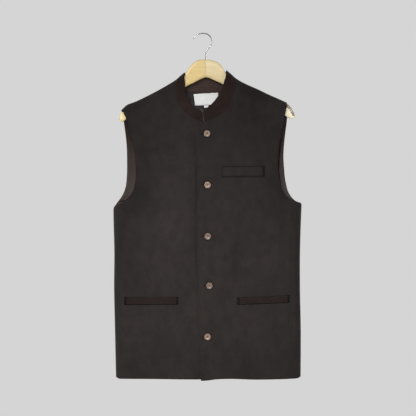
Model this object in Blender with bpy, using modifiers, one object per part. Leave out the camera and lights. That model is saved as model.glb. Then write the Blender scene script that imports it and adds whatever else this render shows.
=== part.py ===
"""A sleeveless nehru jacket in dark wool, buttoned and hanging on a jointed wooden hanger.

Units are metres, +Z is up and the jacket faces -Y. The origin is the crown of the steel hook, where a rod carries it.
The wearer's right is at -X. Tables of outlines are in millimetres, seen from the front.
"""

import math

import bmesh
import bpy
import numpy as np
from mathutils import Vector
from mathutils.bvhtree import BVHTree

MM = 0.001

# cloth
WALL = 2.2 * MM            # wool body cloth with its interlining
COLLAR_WALL = 2.6 * MM     # two layers of cloth and a stiffener
LINING_WALL = 1.0 * MM
LABEL_WALL = 0.6 * MM
WELT_WALL = 1.8 * MM
SEAM_GAP = 0.3 * MM
UNDERARM_EASE = 0.25 * MM  # added to the seam's half gap where it ends at the armhole
SEAM_LAND = 1.2 * MM       # flat run of cloth at each side of a side or shoulder seam

# depth of the hanging jacket
FRONT_PLANE = -50.0 * MM   # outer face of the front at its middle
FRONT_ROUND = 5.0 * MM     # how far that face has turned back at the sides
BACK_PLANE = 16.0 * MM     # outer face of the back at its middle
BACK_ROUND = 24.0 * MM
MID_PLANE = -10.0 * MM     # surface between front and back, which holds the side seams
MID_ROUND = 14.0 * MM
HALF_WIDTH = 230.0 * MM
SHOULDER_ROLL = 12.5 * MM  # half depth of the cloth where it passes over the hanger
SHOULDER_DROP = 75.0 * MM  # distance below the shoulder seam in which the cloth reaches its full depth
SIDE_TURN = 46.0 * MM      # width in which the cloth turns round the side seam
SETTLE_DROP = 240.0 * MM   # distance below the shoulder in which the cloth leaves the hanger's bow
CENTRE_X = 10.0 * MM       # middle of the hanging jacket
SHOULDER_ANGLE = 27.0      # degrees, slope of the shoulder seams
NECK_RISE = 0.42           # slope on which the shoulder lines run on across the neck
UNDERARM_RUN = 1.1         # slope on which the side lines run on outwards past the underarms
FOLD_TOP_REACH = 90.0 * MM  # length in which a fold starts at its top
FOLD_FOOT_REACH = 140.0 * MM

# hanger
HANGER_MIDDLE_X = 4.8 * MM
HANGER_Y = -2.0 * MM
HANGER_BOW = 36.0 * MM     # how far the arms' ends come forward
ARM_REACH = 205.0 * MM
ARM_THICKNESS = 13.0 * MM
ARM_TAPER = 0.12           # share of the thickness lost by the arm's end
ARM_END_REACH = 208.0 * MM  # where the arm is rounded off
ARM_END_SHARE = 0.8
HOOK_POINTS = 34
HOOK_LEAN_DROP = 50.0 * MM  # drop in which the wire comes forward to the hanger's middle
WIRE_RADIUS = 1.4 * MM

# front closing
OVERLAP_STEP = WALL + 2.2 * SEAM_GAP  # how far the under front is set back behind the upper one
OVERLAP_FROM_X = -58.0 * MM           # where the under front starts to go back
OVERLAP_RUN = 30.0 * MM
BUTTON_RADIUS = 9.0 * MM
BUTTON_THICKNESS = 3.6 * MM
BUTTON_STEPS = 20
PIECE_LIFT = 0.1 * MM      # added to the gap under a button or a welt
# half of a button's section: share of the radius, share of the thickness
BUTTON_PROFILE = ((0.0, 0.0), (0.78, 0.0), (1.0, 0.32), (1.0, 0.62), (0.93, 0.86), (0.80, 1.0), (0.66, 0.92),
                  (0.54, 0.70), (0.30, 0.62), (0.0, 0.62))

# side seams from hem to underarm: x, z
SIDE_SEAM = {
    "right": ((-219.4, -864.0), (-222.0, -742.5), (-224.2, -633.5), (-223.6, -544.5), (-225.6, -467.5),
              (-226.0, -436.8)),
    "left": ((243.0, -862.7), (243.4, -742.5), (241.4, -633.5), (241.6, -544.5), (243.8, -467.5),
             (245.6, -426.0)),
}
# shoulder seams from tip to neck: x, z
SHOULDER_SEAM = {
    "right": ((-203.4, -186.5), (-193.3, -181.9), (-166.5, -169.1), (-134.5, -153.1), (-97.3, -132.7),
              (-82.3, -123.7), (-69.0, -115.3)),
    "left": ((208.6, -173.7), (194.0, -166.9), (161.8, -152.3), (135.0, -139.3), (100.3, -123.3),
             (90.0, -117.7), (81.0, -111.9)),
}
# armhole edges of the front panels from underarm to shoulder tip: x, z
FRONT_ARMHOLE = {
    "right": ((-226.0, -436.8), (-206.8, -425.0), (-190.3, -413.0), (-176.7, -393.5), (-171.6, -372.5),
              (-170.0, -334.3), (-171.5, -307.5), (-176.0, -278.3), (-183.8, -248.8), (-193.0, -215.0),
              (-199.5, -197.5), (-203.4, -186.5)),
    "left": ((245.6, -426.0), (219.8, -415.5), (203.0, -401.3), (193.8, -381.8), (188.2, -357.8), (185.4, -333.8),
             (186.2, -310.0), (189.8, -274.0), (196.8, -238.3), (203.8, -200.5), (207.0, -186.5),
             (208.6, -173.7)),
}
# armhole edges of the back panel, cut less deep than the front's: x, z
BACK_ARMHOLE = {
    "right": ((-226.0, -436.8), (-216.2, -422.5), (-204.0, -405.3), (-196.8, -387.5), (-193.0, -358.3),
              (-192.2, -320.5), (-193.2, -282.5), (-196.0, -252.5), (-200.0, -222.5), (-202.6, -202.5),
              (-203.4, -186.5)),
    "left": ((245.6, -426.0), (229.0, -417.9), (213.8, -398.5), (205.8, -369.8), (202.0, -333.8), (200.6, -310.0),
             (201.4, -286.0), (205.4, -247.8), (209.2, -214.3), (210.0, -192.5), (208.6, -173.7)),
}
# closing edges of the fronts, hem to neck; the wearer's left front laps over the right
FRONT_EDGE = {
    "right": ((38.5, -865.1), (38.5, -542.5), (38.5, -229.5)),
    "left": ((-6.5, -868.9), (-8.5, -782.5), (-11.5, -692.5), (-12.8, -594.5), (-18.5, -537.5), (-19.2, -489.5),
             (-15.4, -404.5), (-18.2, -312.5), (-21.0, -252.5)),
}
# top edges of the laps, from the closing edge to the end of the collar
LAP_TOP = {
    "right": ((38.5, -229.5), (36.0, -226.0), (-0.6, -221.7)),
    "left": ((-21.0, -252.5), (-22.6, -243.5), (-20.4, -236.0), (-12.5, -228.5), (0.6, -221.7)),
}
HEM = {
    "right": ((-219.4, -864.0), (-110.0, -864.5), (-40.0, -865.5), (38.5, -865.1)),
    "left": ((243.0, -862.7), (205.0, -864.5), (130.0, -865.9), (62.0, -864.1), (28.0, -865.5), (12.0, -867.9),
             (-6.5, -868.9)),
}
BACK_HEM = ((-219.4, -864.0), (10.0, -864.5), (243.0, -862.7))

# neck seam and the band that stands on it, round from the wearer's left collar end to the right one:
# base x, base z, then the band's lean: towards +X, towards the back, and up
COLLAR_FRONT = {
    "left": ((0.6, -221.7, -1.0, 20.0, 23.5), (23.5, -213.5, -12.0, 18.0, 24.0), (51.0, -195.5, -22.0, 11.0, 22.0),
             (64.5, -179.0, -23.7, 7.0, 21.0), (72.8, -160.0, -23.8, 4.0, 21.0),
             (77.8, -138.5, -23.5, 1.0, 24.0), (80.4, -124.5, -23.6, 0.0, 24.0),
             (81.0, -111.9, -23.7, 0.0, 21.0)),
    "right": ((-0.6, -221.7, -2.4, 19.0, 24.0), (-28.5, -211.5, 7.5, 19.0, 19.5), (-48.3, -195.5, 11.0, 17.0, 18.5),
              (-61.0, -180.8, 15.0, 14.0, 19.0), (-68.0, -163.8, 18.5, 8.0, 20.0),
              (-70.0, -144.5, 20.0, 4.0, 23.0), (-69.8, -128.0, 21.0, 0.0, 23.0),
              (-69.0, -115.3, 21.2, 0.0, 18.6)),
}
COLLAR_BACK = ((-69.0, -115.3, 21.2, 0.0, 18.6), (-61.0, -127.5, 16.0, 1.0, 22.0), (-48.0, -137.0, 10.0, 1.0, 27.0),
               (-24.0, -145.1, 4.0, 1.0, 35.5), (6.0, -146.9, 0.0, 1.0, 38.0),
               (36.0, -144.9, -4.0, 1.0, 35.5), (58.0, -138.0, -10.0, 1.0, 28.0),
               (73.0, -124.5, -18.0, 1.0, 24.0), (81.0, -111.9, -23.7, 0.0, 21.0))

# soft folds of the front and back: x, half width, z of the top and of the foot, depth (+ is a trough)
FRONT_FOLDS = ((-186.0, 12.0, -407.5, -657.5, 2.6), (-206.0, 9.0, -442.5, -762.5, -1.2),
               (-95.0, 46.0, -402.5, -822.5, -1.6), (-48.0, 22.0, -562.5, -992.5, 1.0),
               (72.0, 34.0, -432.5, -982.5, 1.2), (128.0, 36.0, -522.5, -802.5, -1.4),
               (206.0, 15.0, -412.5, -652.5, 1.6), (176.0, 30.0, -642.5, -1002.5, 0.9))
BACK_FOLDS = ((-150.0, 34.0, -332.5, -1002.5, 2.4), (-62.0, 40.0, -422.5, -1002.5, -1.8),
              (18.0, 30.0, -302.5, -962.5, 2.0), (95.0, 42.0, -382.5, -1002.5, -2.0),
              (168.0, 30.0, -352.5, -1002.5, 2.2))

# rows and columns of the panels: distance from the seam or edge, then even runs
NEAR_SEAM = (1.0, 3.2, 6.5, 11.0, 17.0, 26.0, 37.0)
NEAR_SHOULDER = (1.0, 3.2, 6.5, 11.0, 17.0, 26.0)
LOW_ROWS = 12
EDGE_ROWS = 8
LAP_ROWS = 4
NECK_ROWS = 6
FRONT_COLUMNS = 8
BACK_SHOULDER_COLUMNS = 5
BACK_NECK_COLUMNS = 10
COLLAR_ROWS = 5
COLLAR_BEND = 0.38         # share of the collar's height at which it bends inwards
COLLAR_STAND = 0.55        # how much of its foot follows the panel below
FRONT_SPAN = 225.0         # width over which a front's columns are shared out, in the unit of NEAR_SEAM
BACK_SPAN = 465.0
SHOULDER_STEP = 0.0016     # share of the height that goes with one unit of NEAR_SHOULDER
UNDERARM_V = 0.56          # shares of the rows' height: underarm, foot of the neck, end of the lap
NECK_BASE_V = 0.80
LAP_END_V = 0.83
BACK_NECK_U = (0.32, 0.68)  # shares of the back's width between which its neck lies
FACING_ROWS = 13           # rows of the back that the neck facing covers, down from the shoulder
FACING_COLUMNS = 7         # columns of the back that an armhole facing covers, in from the armhole
LYING_COLUMNS = 24         # columns of a welt
LABEL_COLUMNS = 6

# pockets, as corners x, z: low outer, low inner, high inner, high outer
POCKET_WELT_RIGHT = ((-199.0, -678.5), (-62.8, -677.5), (-62.8, -659.0), (-199.0, -659.5))
POCKET_WELT_LEFT = ((215.3, -673.0), (83.5, -678.5), (83.5, -661.0), (215.3, -655.0))
BREAST_WELT = ((151.0, -359.5), (45.5, -360.3), (45.5, -332.5), (151.0, -331.0))

BUTTONS = ((8.6, -251.3), (9.8, -379.5), (10.2, -508.0), (14.6, -631.3), (9.8, -758.8))

INSIDE_Y = -6.0 * MM       # a depth between the front and the back neck
# woven label inside the back neck, corners x, z: bottom left, bottom right, top right, top left
LABEL = ((-22.5, -183.0), (40.0, -178.5), (37.6, -148.5), (-26.6, -152.9))
SIZE_TAB = ((0.6, -190.1), (12.4, -189.1), (12.6, -181.4), (0.4, -182.2))

# wooden arms: distance from the joint, top z, bottom z
ARM = {
    "right": ((0.0, -64.3, -109.1), (10.0, -64.5, -113.1), (20.0, -66.7, -118.1), (27.5, -71.5, -122.1),
              (35.0, -77.9, -125.7), (42.5, -87.5, -129.5), (50.0, -98.9, -133.5), (57.5, -110.3, -137.1),
              (66.0, -118.5, -141.9), (75.0, -124.1, -146.7), (92.0, -133.5, -155.9),
              (125.0, -151.9, -174.5), (160.0, -169.5, -193.5), (188.0, -182.7, -208.5),
              (203.0, -190.8, -219.0), (210.5, -198.0, -221.8), (215.2, -207.0, -218.6)),
    "left": ((0.0, -64.3, -109.1), (9.0, -65.1, -111.1), (18.0, -66.1, -115.1), (25.0, -68.9, -118.3),
             (32.5, -73.3, -121.7), (40.0, -79.9, -125.3), (47.5, -92.9, -128.9), (54.0, -103.9, -132.3),
             (62.0, -111.9, -136.5), (78.0, -120.3, -143.5), (96.0, -130.1, -151.5),
             (130.0, -144.9, -168.5), (165.0, -159.9, -187.5), (196.0, -173.7, -204.5),
             (206.0, -178.1, -210.9), (216.0, -189.9, -214.5), (222.0, -201.5, -211.1)),
}

# steel hook, from its tip round the crown to its foot: x, z
HOOK = ((-24.6, -13.0), (-20.6, -5.6), (-12.2, -0.4), (-1.0, 1.4), (9.6, -1.0), (17.6, -8.6), (20.3, -18.6),
        (17.4, -29.4), (11.4, -37.6), (6.6, -43.2), (5.0, -49.0), (4.8, -55.0), (4.8, -63.9))

COLOURS = {
    "body_wool": ((0.034, 0.029, 0.028), 0.9, 0.0),
    "collar_wool": ((0.026, 0.018, 0.016), 0.9, 0.0),
    "welt_wool": ((0.026, 0.017, 0.016), 0.9, 0.0),
    "lining": ((0.050, 0.036, 0.032), 0.6, 0.0),
    "label_ribbon": ((0.78, 0.78, 0.77), 0.7, 0.0),
    "button_horn": ((0.30, 0.225, 0.165), 0.4, 0.0),
    "wood": ((0.72, 0.55, 0.31), 0.45, 0.0),
    "steel": ((0.55, 0.55, 0.56), 0.25, 1.0),
}


def smooth(t, knots, values):
    """Cubic curve through the values at their knots, straight beyond its ends."""
    knots, values = np.asarray(knots, float), np.asarray(values, float)
    slopes = np.gradient(values, knots, axis=0)
    t = np.asarray(t, float)
    inside = np.clip(t, knots[0], knots[-1])
    k = np.clip(np.searchsorted(knots, inside, side="right") - 1, 0, len(knots) - 2)
    width = knots[k + 1] - knots[k]
    s = (inside - knots[k]) / width
    if values.ndim > 1:
        s, width = s[..., None], width[..., None]
    curve = ((2 * s**3 - 3 * s**2 + 1) * values[k] + (s**3 - 2 * s**2 + s) * width * slopes[k]
             + (3 * s**2 - 2 * s**3) * values[k + 1] + (s**3 - s**2) * width * slopes[k + 1])
    beyond = t - inside
    edge = np.where(beyond < 0, 0, len(knots) - 1)
    return curve + (beyond[..., None] if values.ndim > 1 else beyond) * slopes[edge]


def ease(t):
    t = np.clip(t, 0.0, 1.0)
    return t * t * (3.0 - 2.0 * t)


def along(rows):
    """A function of 0 to 1 that runs evenly along the smooth curve through a table's first two columns."""
    rows = np.asarray(rows, float)
    knots = np.concatenate([[0.0], np.cumsum(np.hypot(*np.diff(rows[:, :2], axis=0).T))])
    fine = np.linspace(0.0, knots[-1], 400)
    points = smooth(fine, knots, rows)
    length = np.concatenate([[0.0], np.cumsum(np.hypot(*np.diff(points[:, :2], axis=0).T))])
    return lambda s: smooth(np.interp(s, length / length[-1], fine), knots, rows)


def join(*pieces):
    """One function of 0 to 1 out of (end, function) pieces, each run over its own stretch."""
    def curve(t):
        t = np.asarray(t, float)
        out = np.zeros(t.shape + (2,))
        start = 0.0
        for end, piece in pieces:
            here = (t >= start - 1e-9) & (t <= end + 1e-9)
            out[here] = piece((t[here] - start) / (end - start))[..., :2]
            start = end
        return out
    return curve


def patch(u, v, left, right, bottom, top):
    """Points inside four joined edges; u runs from left to right and v from bottom to top."""
    u1, v1 = u[..., None], v[..., None]
    corner = {(a, b): (top if b else bottom)(np.array([float(a)]))[0] for a in (0, 1) for b in (0, 1)}
    return ((1 - v1) * bottom(u) + v1 * top(u) + (1 - u1) * left(v) + u1 * right(v)
            - (1 - u1) * (1 - v1) * corner[0, 0] - u1 * (1 - v1) * corner[1, 0]
            - (1 - u1) * v1 * corner[0, 1] - u1 * v1 * corner[1, 1])


# ---- the jacket's form -------------------------------------------------------------------------------------------

def hanger_y(x):
    return HANGER_Y - HANGER_BOW * (np.abs(x - HANGER_MIDDLE_X) / ARM_REACH) ** 1.5


def below_shoulder(x, z):
    """Distance below the shoulder seams, or their run on across the neck."""
    height = {}
    for side, rows in SHOULDER_SEAM.items():
        rows = np.array(sorted(rows)) * MM
        line = smooth(x, rows[:, 0], rows[:, 1])
        neck = rows[-1] if side == "right" else rows[0]
        inward = x > neck[0] if side == "right" else x < neck[0]
        height[side] = np.where(inward, neck[1] + NECK_RISE * np.abs(x - neck[0]), line)
    line = np.minimum(height["right"], height["left"])
    return np.maximum(line - z, 0.0) * math.cos(math.radians(SHOULDER_ANGLE))


def from_side(x, z):
    """Distance inside the side seams, which run outwards above the underarms to leave the armholes open."""
    found = {}
    for side, rows in SIDE_SEAM.items():
        sign = -1.0 if side == "right" else 1.0
        rows = np.array(rows) * MM
        line = smooth(np.minimum(z, rows[-1, 1]), rows[:, 1], rows[:, 0])
        line = line + sign * UNDERARM_RUN * np.maximum(z - rows[-1, 1], 0.0)
        found[side] = sign * (line - x)
    return np.maximum(np.minimum(found["right"], found["left"]), 0.0)


def folds(rows, x, z):
    depth = np.zeros_like(x)
    for at, half, top, foot, size in rows:
        across = np.exp(-(((x - at * MM) / (half * MM)) ** 2))
        reach = ease((top * MM - z) / FOLD_TOP_REACH) * ease((z - foot * MM) / FOLD_FOOT_REACH)
        depth += size * MM * across * reach
    return depth


def body_y(x, z, front):
    """Depth of the outer face of the cloth, before its seam land."""
    out = np.abs(x - CENTRE_X) / HALF_WIDTH
    drop, side = below_shoulder(x, z), from_side(x, z)
    roll = np.sqrt(1 - (1 - np.minimum(drop / SHOULDER_ROLL, 1)) ** 2)
    fall = 1 - np.exp(-((drop / SHOULDER_DROP) ** 2))
    turn = (1 - (1 - np.minimum(side / SIDE_TURN, 1)) ** 2.2) ** 0.5
    settle = ease(drop / SETTLE_DROP)
    mid = hanger_y(x) * (1 - settle) + (MID_PLANE - MID_ROUND * out**2) * settle
    if front:
        plane = FRONT_PLANE + FRONT_ROUND * out**2 + folds(FRONT_FOLDS, x, z)
        return mid - turn * (SHOULDER_ROLL * roll + (mid - SHOULDER_ROLL - plane) * fall)
    plane = BACK_PLANE - BACK_ROUND * out**2 - folds(BACK_FOLDS, x, z)
    return mid + turn * (SHOULDER_ROLL * roll + (plane - mid - SHOULDER_ROLL) * fall)


def surface(flat, seam, front):
    """Points of a panel's outer face from its outline grid; seam marks the points that lie on a seam."""
    x, z = flat[..., 0] * MM, flat[..., 1] * MM
    y = body_y(x, z, front)
    outward = -1.0 if front else 1.0
    y = y + outward * np.where(seam, SEAM_GAP / 2, SEAM_GAP / 2 + SEAM_LAND)
    return np.stack([x, y, z], axis=-1)


def round_run(count):
    """Steps from 0 to 1 that are closest at both ends."""
    return 0.5 - 0.5 * np.cos(np.linspace(0.0, math.pi, count + 1))


def row_values():
    """Heights of a panel's rows: hem, underarm, foot of the neck, lap, and close rows below the shoulder seam."""
    close = 1.0 - np.array([0.0, 0.0, *NEAR_SHOULDER])[::-1] * SHOULDER_STEP
    lower = np.linspace(0.0, UNDERARM_V, LOW_ROWS + 1)
    edge = np.linspace(UNDERARM_V, NECK_BASE_V, EDGE_ROWS + 1)[1:]
    lap = np.linspace(NECK_BASE_V, LAP_END_V, LAP_ROWS + 1)[1:]
    neck = np.linspace(LAP_END_V, close[0], NECK_ROWS + 1)[1:-1]
    return np.concatenate([lower, edge, lap, neck, close])


def front_panel(side):
    """Grid of a front's outer face: rows from hem to shoulder, columns from side seam to closing edge."""
    near = np.array([0.0, 0.0, *NEAR_SEAM]) / FRONT_SPAN
    u = np.concatenate([near, np.linspace(near[-1], 1.0, FRONT_COLUMNS + 1)[1:]])
    v, u = np.meshgrid(row_values(), u, indexing="ij")
    above = v[:, 1] > UNDERARM_V + 1e-6
    u[above, 1] = u[above, 2] / 2
    neck = [row[:2] for row in COLLAR_FRONT[side]]
    points = patch(
        u, v,
        join((UNDERARM_V, along(SIDE_SEAM[side])), (1.0, along(FRONT_ARMHOLE[side]))),
        join((NECK_BASE_V, along(FRONT_EDGE[side])), (LAP_END_V, along(LAP_TOP[side])), (1.0, along(neck))),
        along(HEM[side]), along(SHOULDER_SEAM[side]))
    seam = np.zeros(u.shape, bool)
    seam[:LOW_ROWS + 1, 0] = True
    seam[-1, :] = True
    grid = surface(points, seam, True)
    grid[LOW_ROWS, 0, 1] -= UNDERARM_EASE
    if side == "right":
        grid[..., 1] += OVERLAP_STEP * ease((grid[..., 0] - OVERLAP_FROM_X) / OVERLAP_RUN)
    return grid


def back_panel():
    """Grid of the back's outer face: rows from hem to shoulder, columns from the wearer's right to left."""
    near = np.array([0.0, 0.0, *NEAR_SEAM]) / BACK_SPAN
    neck_from, neck_to = BACK_NECK_U
    u = np.concatenate([near, np.linspace(near[-1], neck_from, BACK_SHOULDER_COLUMNS)[1:],
                        neck_from + (neck_to - neck_from) * round_run(BACK_NECK_COLUMNS)[1:],
                        np.linspace(neck_to, 1 - near[-1], BACK_SHOULDER_COLUMNS)[1:-1], 1 - near[::-1]])
    v, u = np.meshgrid(row_values(), u, indexing="ij")
    above = v[:, 1] > UNDERARM_V + 1e-6
    u[above, 1] = u[above, 2] / 2
    u[above, -2] = (1 + u[above, -3]) / 2
    in_neck = (u[-1] > neck_from + 1e-6) & (u[-1] < neck_to - 1e-6)
    v[-2, in_neck] = (1 + v[-3, in_neck]) / 2
    neck = [row[:2] for row in COLLAR_BACK]
    top = join((neck_from, along(SHOULDER_SEAM["right"])), (neck_to, along(neck)),
               (1.0, along(SHOULDER_SEAM["left"][::-1])))
    points = patch(
        u, v,
        join((UNDERARM_V, along(SIDE_SEAM["right"])), (1.0, along(BACK_ARMHOLE["right"]))),
        join((UNDERARM_V, along(SIDE_SEAM["left"])), (1.0, along(BACK_ARMHOLE["left"]))),
        along(BACK_HEM), top)
    seam = np.zeros(u.shape, bool)
    seam[:LOW_ROWS + 1, [0, -1]] = True
    seam[-1, ~in_neck] = True
    grid = surface(points, seam, False)
    grid[LOW_ROWS, [0, -1], 1] += UNDERARM_EASE
    return grid, np.flatnonzero((u[-1] > neck_from - 1e-6) & (u[-1] < neck_to + 1e-6))


def collar_band(fronts, back, neck_columns):
    """Grid of the collar's outer face: along the neck seam from the wearer's left end to the right, then upwards."""
    first = LOW_ROWS + EDGE_ROWS + LAP_ROWS
    edge, inner, lean = [], [], []
    last = len(fronts["left"]) - 1

    def front_lean(side):
        v = row_values()[first:]
        return along(COLLAR_FRONT[side])((v - LAP_END_V) / (1 - LAP_END_V))[:, 2:5] * MM

    edge += list(fronts["left"][first:last, -1])
    inner += list(fronts["left"][first:last, -2])
    lean += list(front_lean("left")[:-1])
    columns = neck_columns[::-1]
    share = round_run(BACK_NECK_COLUMNS)[::-1]
    edge += list(back[-1, columns])
    inner += list(back[-2, columns])
    lean += list(along(COLLAR_BACK)(share)[:, 2:5] * MM)
    inner[last - first] = fronts["left"][last, -2]
    inner[-1] = fronts["right"][last, -2]
    edge += list(fronts["right"][first:last, -1][::-1])
    inner += list(fronts["right"][first:last, -2][::-1])
    lean += list(front_lean("right")[:-1][::-1])
    edge, inner, lean = np.array(edge), np.array(inner), np.array(lean)
    seam_ends = last - first, last - first + len(columns) - 1
    edge[list(seam_ends), 1] -= SEAM_GAP / 2
    tangent = np.gradient(edge, axis=0)
    tangent /= np.linalg.norm(tangent, axis=1)[:, None]
    up = edge - inner
    up -= (up * tangent).sum(1)[:, None] * tangent
    up /= np.linalg.norm(up, axis=1)[:, None]
    base = edge + up * SEAM_GAP
    land = edge + up * (SEAM_GAP + SEAM_LAND)
    rows = [base]
    height = np.linalg.norm(lean, axis=1)[:, None]
    bend = land + COLLAR_BEND * height * (COLLAR_STAND * up + (1 - COLLAR_STAND) * lean / height)
    for s in np.linspace(0.0, 1.0, COLLAR_ROWS + 1):
        rows.append((1 - s) ** 2 * land + 2 * s * (1 - s) * bend + s * s * (edge + lean))
    return np.array(rows)


# ---- objects -----------------------------------------------------------------------------------------------------

def material(name):
    colour, roughness, metallic = COLOURS[name]
    made = bpy.data.materials.get(name)
    if made is None:
        made = bpy.data.materials.new(name)
        made.use_nodes = True
        shader = made.node_tree.nodes["Principled BSDF"]
        shader.inputs["Base Color"].default_value = (*colour, 1.0)
        shader.inputs["Roughness"].default_value = roughness
        shader.inputs["Metallic"].default_value = metallic
        made.diffuse_color = (*colour, 1.0)
    return made


def new_object(name, data, colour, collection):
    data.materials.append(material(colour))
    made = bpy.data.objects.new(name, data)
    collection.objects.link(made)
    return made


def cloth(name, grid, wall, colour, collection, flip=False):
    """A wall of cloth: an open surface through the grid's points, made solid inwards."""
    rows, columns = grid.shape[:2]
    mesh = bpy.data.meshes.new(name)
    shape = bmesh.new()
    verts = [[shape.verts.new(grid[i, j]) for j in range(columns)] for i in range(rows)]
    for i in range(rows - 1):
        for j in range(columns - 1):
            face = [verts[i][j], verts[i][j + 1], verts[i + 1][j + 1], verts[i + 1][j]]
            shape.faces.new(face[::-1] if flip else face)
    shape.to_mesh(mesh)
    shape.free()
    made = new_object(name, mesh, colour, collection)
    wall_modifier = made.modifiers.new("wall", "SOLIDIFY")
    wall_modifier.thickness = wall
    wall_modifier.offset = -1.0
    wall_modifier.use_even_offset = True
    return made


def pushed_in(grid, distance, flip=False):
    """The grid's points moved inwards along its normals."""
    across, up = np.gradient(grid, axis=1), np.gradient(grid, axis=0)
    normal = np.cross(across, up)
    normal /= np.linalg.norm(normal, axis=-1)[..., None]
    return grid - normal * (-distance if flip else distance)


def lining(name, block, collection):
    """A thin wall inside the back panel, under a block of its grid."""
    return cloth(name, pushed_in(block, WALL + SEAM_GAP, flip=True), LINING_WALL, "lining", collection, flip=True)


def lying_on(panel, corners, columns, rows, rise, start_y=-0.2):
    """Grid of a flat piece that lies on a panel: the panel's points between the corners, moved forward by rise."""
    evaluated = panel.evaluated_get(bpy.context.evaluated_depsgraph_get())
    tree = BVHTree.FromObject(evaluated, bpy.context.evaluated_depsgraph_get())
    low_a, low_b, high_b, high_a = (np.array(c) * MM for c in corners)
    grid = np.zeros((rows + 1, columns + 1, 3))
    for i, v in enumerate(np.linspace(0, 1, rows + 1)):
        for j, u in enumerate(np.linspace(0, 1, columns + 1)):
            x, z = (1 - v) * ((1 - u) * low_a + u * low_b) + v * ((1 - u) * high_a + u * high_b)
            hit = tree.ray_cast(Vector((x, start_y, z)), Vector((0, 1, 0)))[0]
            grid[i, j] = (x, hit.y - rise, z)
    return grid


def button(name, place, panel, collection):
    """A turned button with a raised rim and a dished middle, lying on the panel."""
    mesh = bpy.data.meshes.new(name)
    shape = bmesh.new()
    verts = [shape.verts.new((r * BUTTON_RADIUS, 0.0, h * BUTTON_THICKNESS)) for r, h in BUTTON_PROFILE]
    for a, b in zip(verts, verts[1:]):
        shape.edges.new((a, b))
    shape.to_mesh(mesh)
    shape.free()
    made = new_object(name, mesh, "button_horn", collection)
    turn = made.modifiers.new("turn", "SCREW")
    turn.steps = turn.render_steps = BUTTON_STEPS
    turn.use_merge_vertices = True
    turn.merge_threshold = 0.00005
    turn.use_normal_calculate = True
    half = BUTTON_RADIUS / MM
    corners = [(place[0] + a * half, place[1] + b * half) for a, b in ((-1, -1), (1, -1), (1, 1), (-1, 1))]
    seat = lying_on(panel, corners, 4, 4, SEAM_GAP)
    made.rotation_euler = (math.radians(90.0), 0.0, 0.0)
    made.location = (place[0] * MM, seat[..., 1].min() - PIECE_LIFT, place[1] * MM)
    return made


def wooden_arm(side, collection):
    """Half of the hanger: rounded upright sections along a bowed arm."""
    sign = -1.0 if side == "right" else 1.0
    rows = np.array(ARM[side]) * MM
    joint = HANGER_MIDDLE_X + sign * SEAM_GAP / 2
    mesh = bpy.data.meshes.new("hanger_arm_" + side)
    shape = bmesh.new()
    angles = np.radians(np.arange(0, 360, 22.5) + 11.25)
    rings = []
    for reach, top, bottom in rows:
        x = joint + sign * reach
        y = hanger_y(x)
        thick = ARM_THICKNESS * (1.0 - ARM_TAPER * reach / ARM_REACH)
        if reach > ARM_END_REACH:
            thick *= ARM_END_SHARE
        half = (top - bottom) / 2
        ring = []
        for a in angles:
            c, s = math.cos(a), math.sin(a)
            across = math.copysign(abs(c) ** 0.55, c) * thick / 2
            height = math.copysign(abs(s) ** 0.45, s) * half
            ring.append(shape.verts.new((x, y + across, (top + bottom) / 2 + height)))
        rings.append(ring)
    for a, b in zip(rings, rings[1:]):
        for k in range(len(angles)):
            m = (k + 1) % len(angles)
            shape.faces.new((a[k], a[m], b[m], b[k]))
    shape.faces.new(rings[0])
    shape.faces.new(rings[-1])
    bmesh.ops.recalc_face_normals(shape, faces=shape.faces)
    shape.to_mesh(mesh)
    shape.free()
    return new_object("hanger_arm_" + side, mesh, "wood", collection)


def hook(collection):
    """Bent steel wire: the crown, the neck and the stem that is screwed into the hanger."""
    route = along(HOOK)(np.linspace(0, 1, HOOK_POINTS)) * MM
    data = bpy.data.curves.new("hook", "CURVE")
    data.dimensions = "3D"
    data.bevel_depth = WIRE_RADIUS
    data.bevel_resolution = 2
    data.use_fill_caps = True
    line = data.splines.new("POLY")
    line.points.add(len(route) - 1)
    for point, (x, z) in zip(line.points, route):
        point.co = (x, HANGER_Y * ease(-z / HOOK_LEAN_DROP), z, 1.0)
    return new_object("hook", data, "steel", collection)


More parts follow.
